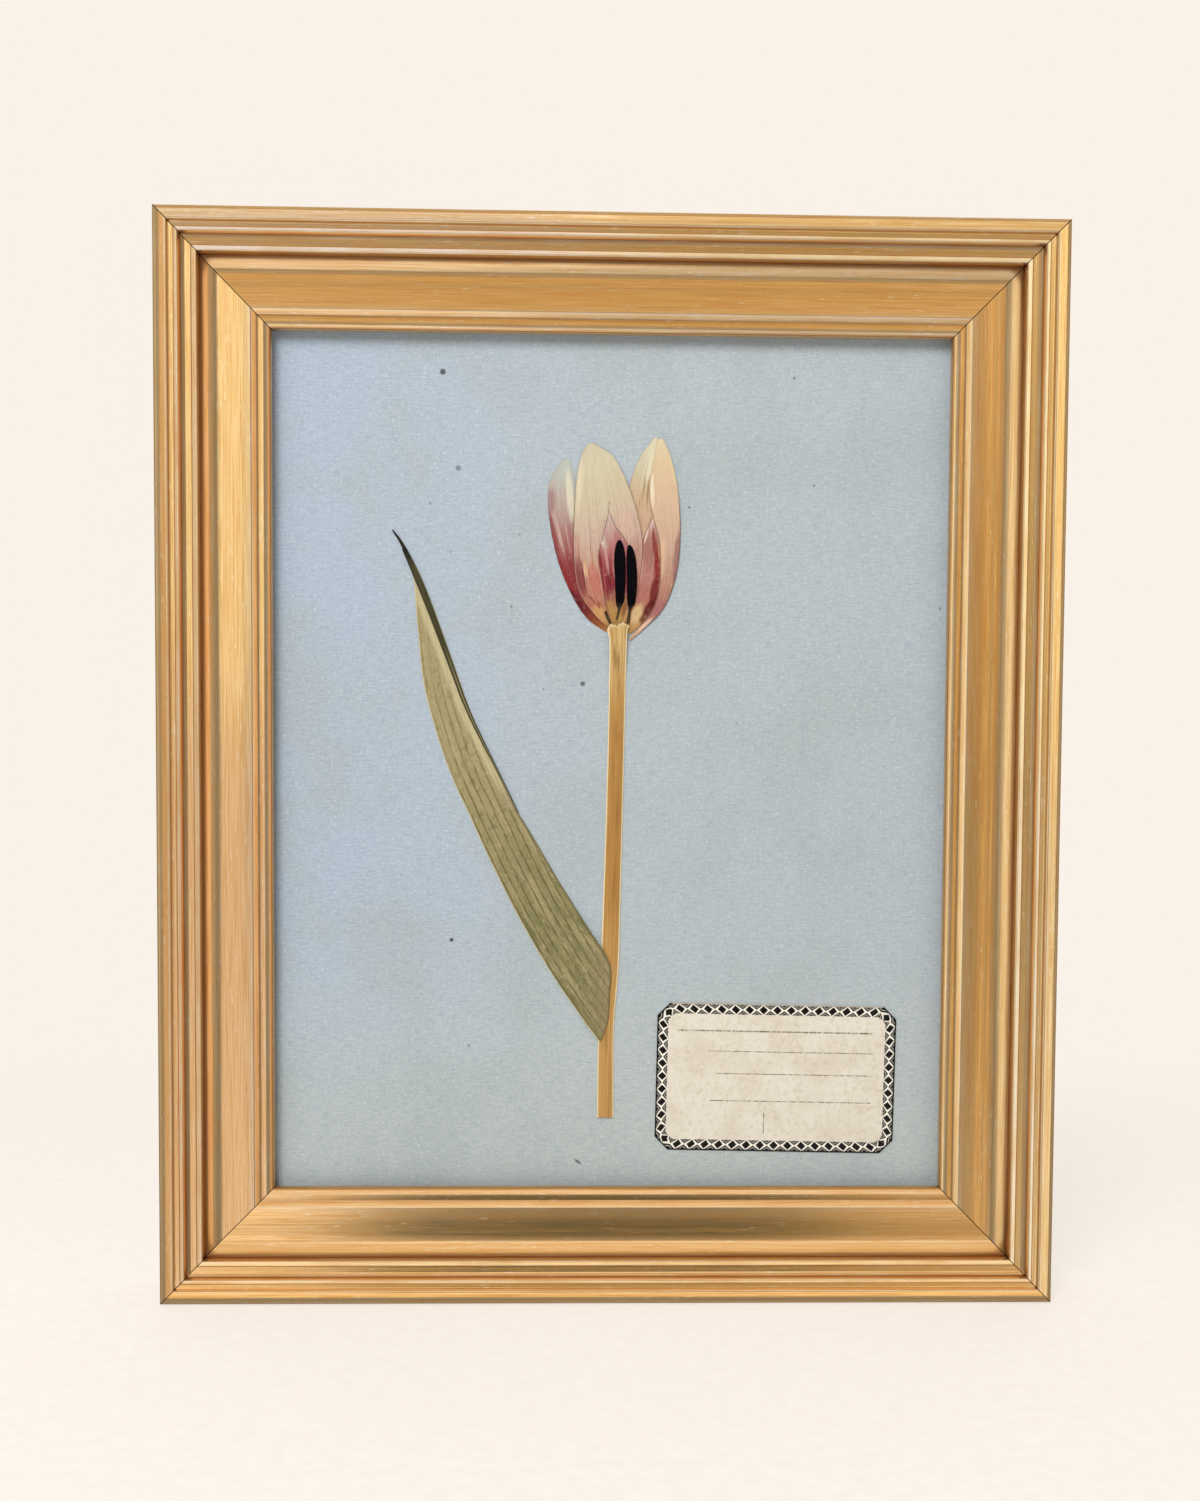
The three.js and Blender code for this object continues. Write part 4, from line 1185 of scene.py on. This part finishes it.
def floorFinish():
    look = roomLook
    glow = {"Emission Color": tint(look["backdrop"]), "Emission Strength": look["floorGlow"]}
    material, tree, shader = finish("floor", 0.9, 0.1, glow)
    place = coords(tree, "Object")
    speckle = fade(grain(place, 220, 3, 0.5), 0.3, 0.7, 0, 0.06)
    wire(between(speckle, look, "floor", "floorSpeck"), shader.inputs["Base Color"])
    reach = measured("LENGTH", mapped(place, look["floorOval"]))
    clear = tree.nodes.new("ShaderNodeBsdfTransparent")
    away = times(cameraRay(tree), fade(reach, *look["floorFade"]))
    mix = newNode("MixShader", away, shader.outputs[0], clear.outputs[0])
    wire(mix.outputs[0], tree.nodes["Material Output"].inputs["Surface"])
    return material


def addFloor():
    bm = bmesh.new()
    bmesh.ops.create_grid(bm, x_segments=1, y_segments=1, size=roomLook["floorReach"])
    bmesh.ops.translate(bm, verts=bm.verts, vec=(0, 0, cadLow.z - roomLook["floorDrop"]))
    mesh = bpy.data.meshes.new("floor")
    bm.to_mesh(mesh)
    bm.free()
    mesh.materials.append(floorFinish())
    floor = bpy.data.objects.new("floor", mesh)
    bpy.context.scene.collection.objects.link(floor)
    floor.visible_glossy = False  # no horizon in the pane
    floor.visible_transmission = False


def addLight(name, place, aim, power, code, width, height=None):
    data = bpy.data.lights.new(name, "AREA")
    data.shape = "RECTANGLE" if height else "DISK"
    data.size = width
    if height:
        data.size_y = height
    data.energy = power
    data.color = tint(code)[:3]
    light = bpy.data.objects.new(name, data)
    bpy.context.scene.collection.objects.link(light)
    light.location = place
    light.rotation_euler = (Vector(aim) - light.location).to_track_quat("-Z", "Y").to_euler()
    return light


def addKeyLight():
    look = roomLook["key"]
    aim = (centreX, paperFace, centreZ)
    key = addLight("key", look["place"], aim, look["power"], look["colour"], look["size"])
    key.visible_glossy = False  # no lamp in the pane, and the cards make the gilt's highlights
    key.visible_transmission = False


# soft cards, each of which lights one rail only
def addCards():
    reach = roomLook["cardReach"]
    cards = [(node, *card) for node, own in roomLook["cards"].items() for card in own]
    for number, (node, start, end, glow, code, *along) in enumerate(cards):
        first, last = along or roomLook["cardAlong"]
        low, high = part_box(node)
        rail = (low + high) / 2
        breadth, length = [2 * reach * math.tan(math.radians(angle / 2))
                           for angle in (end - start, last - first)]
        turns, size = ((first + last) / 2, (start + end) / 2), (length, breadth)
        if node in ("rail_left", "rail_right"):
            turns, size = turns[::-1], size[::-1]
        place = rail + reach * Vector(towards(*turns))
        card = addLight("card_%d" % number, place, rail, glow * math.pi * size[0] * size[1], code, *size)
        card.visible_camera = False
        lit = bpy.data.collections.new("lit_%d" % number)
        lit.objects.link(bpy.data.objects["gilt_" + node])
        card.light_linking.receiver_collection = lit


addRoom()
addFloor()
addKeyLight()
addCards()
print("studio set")
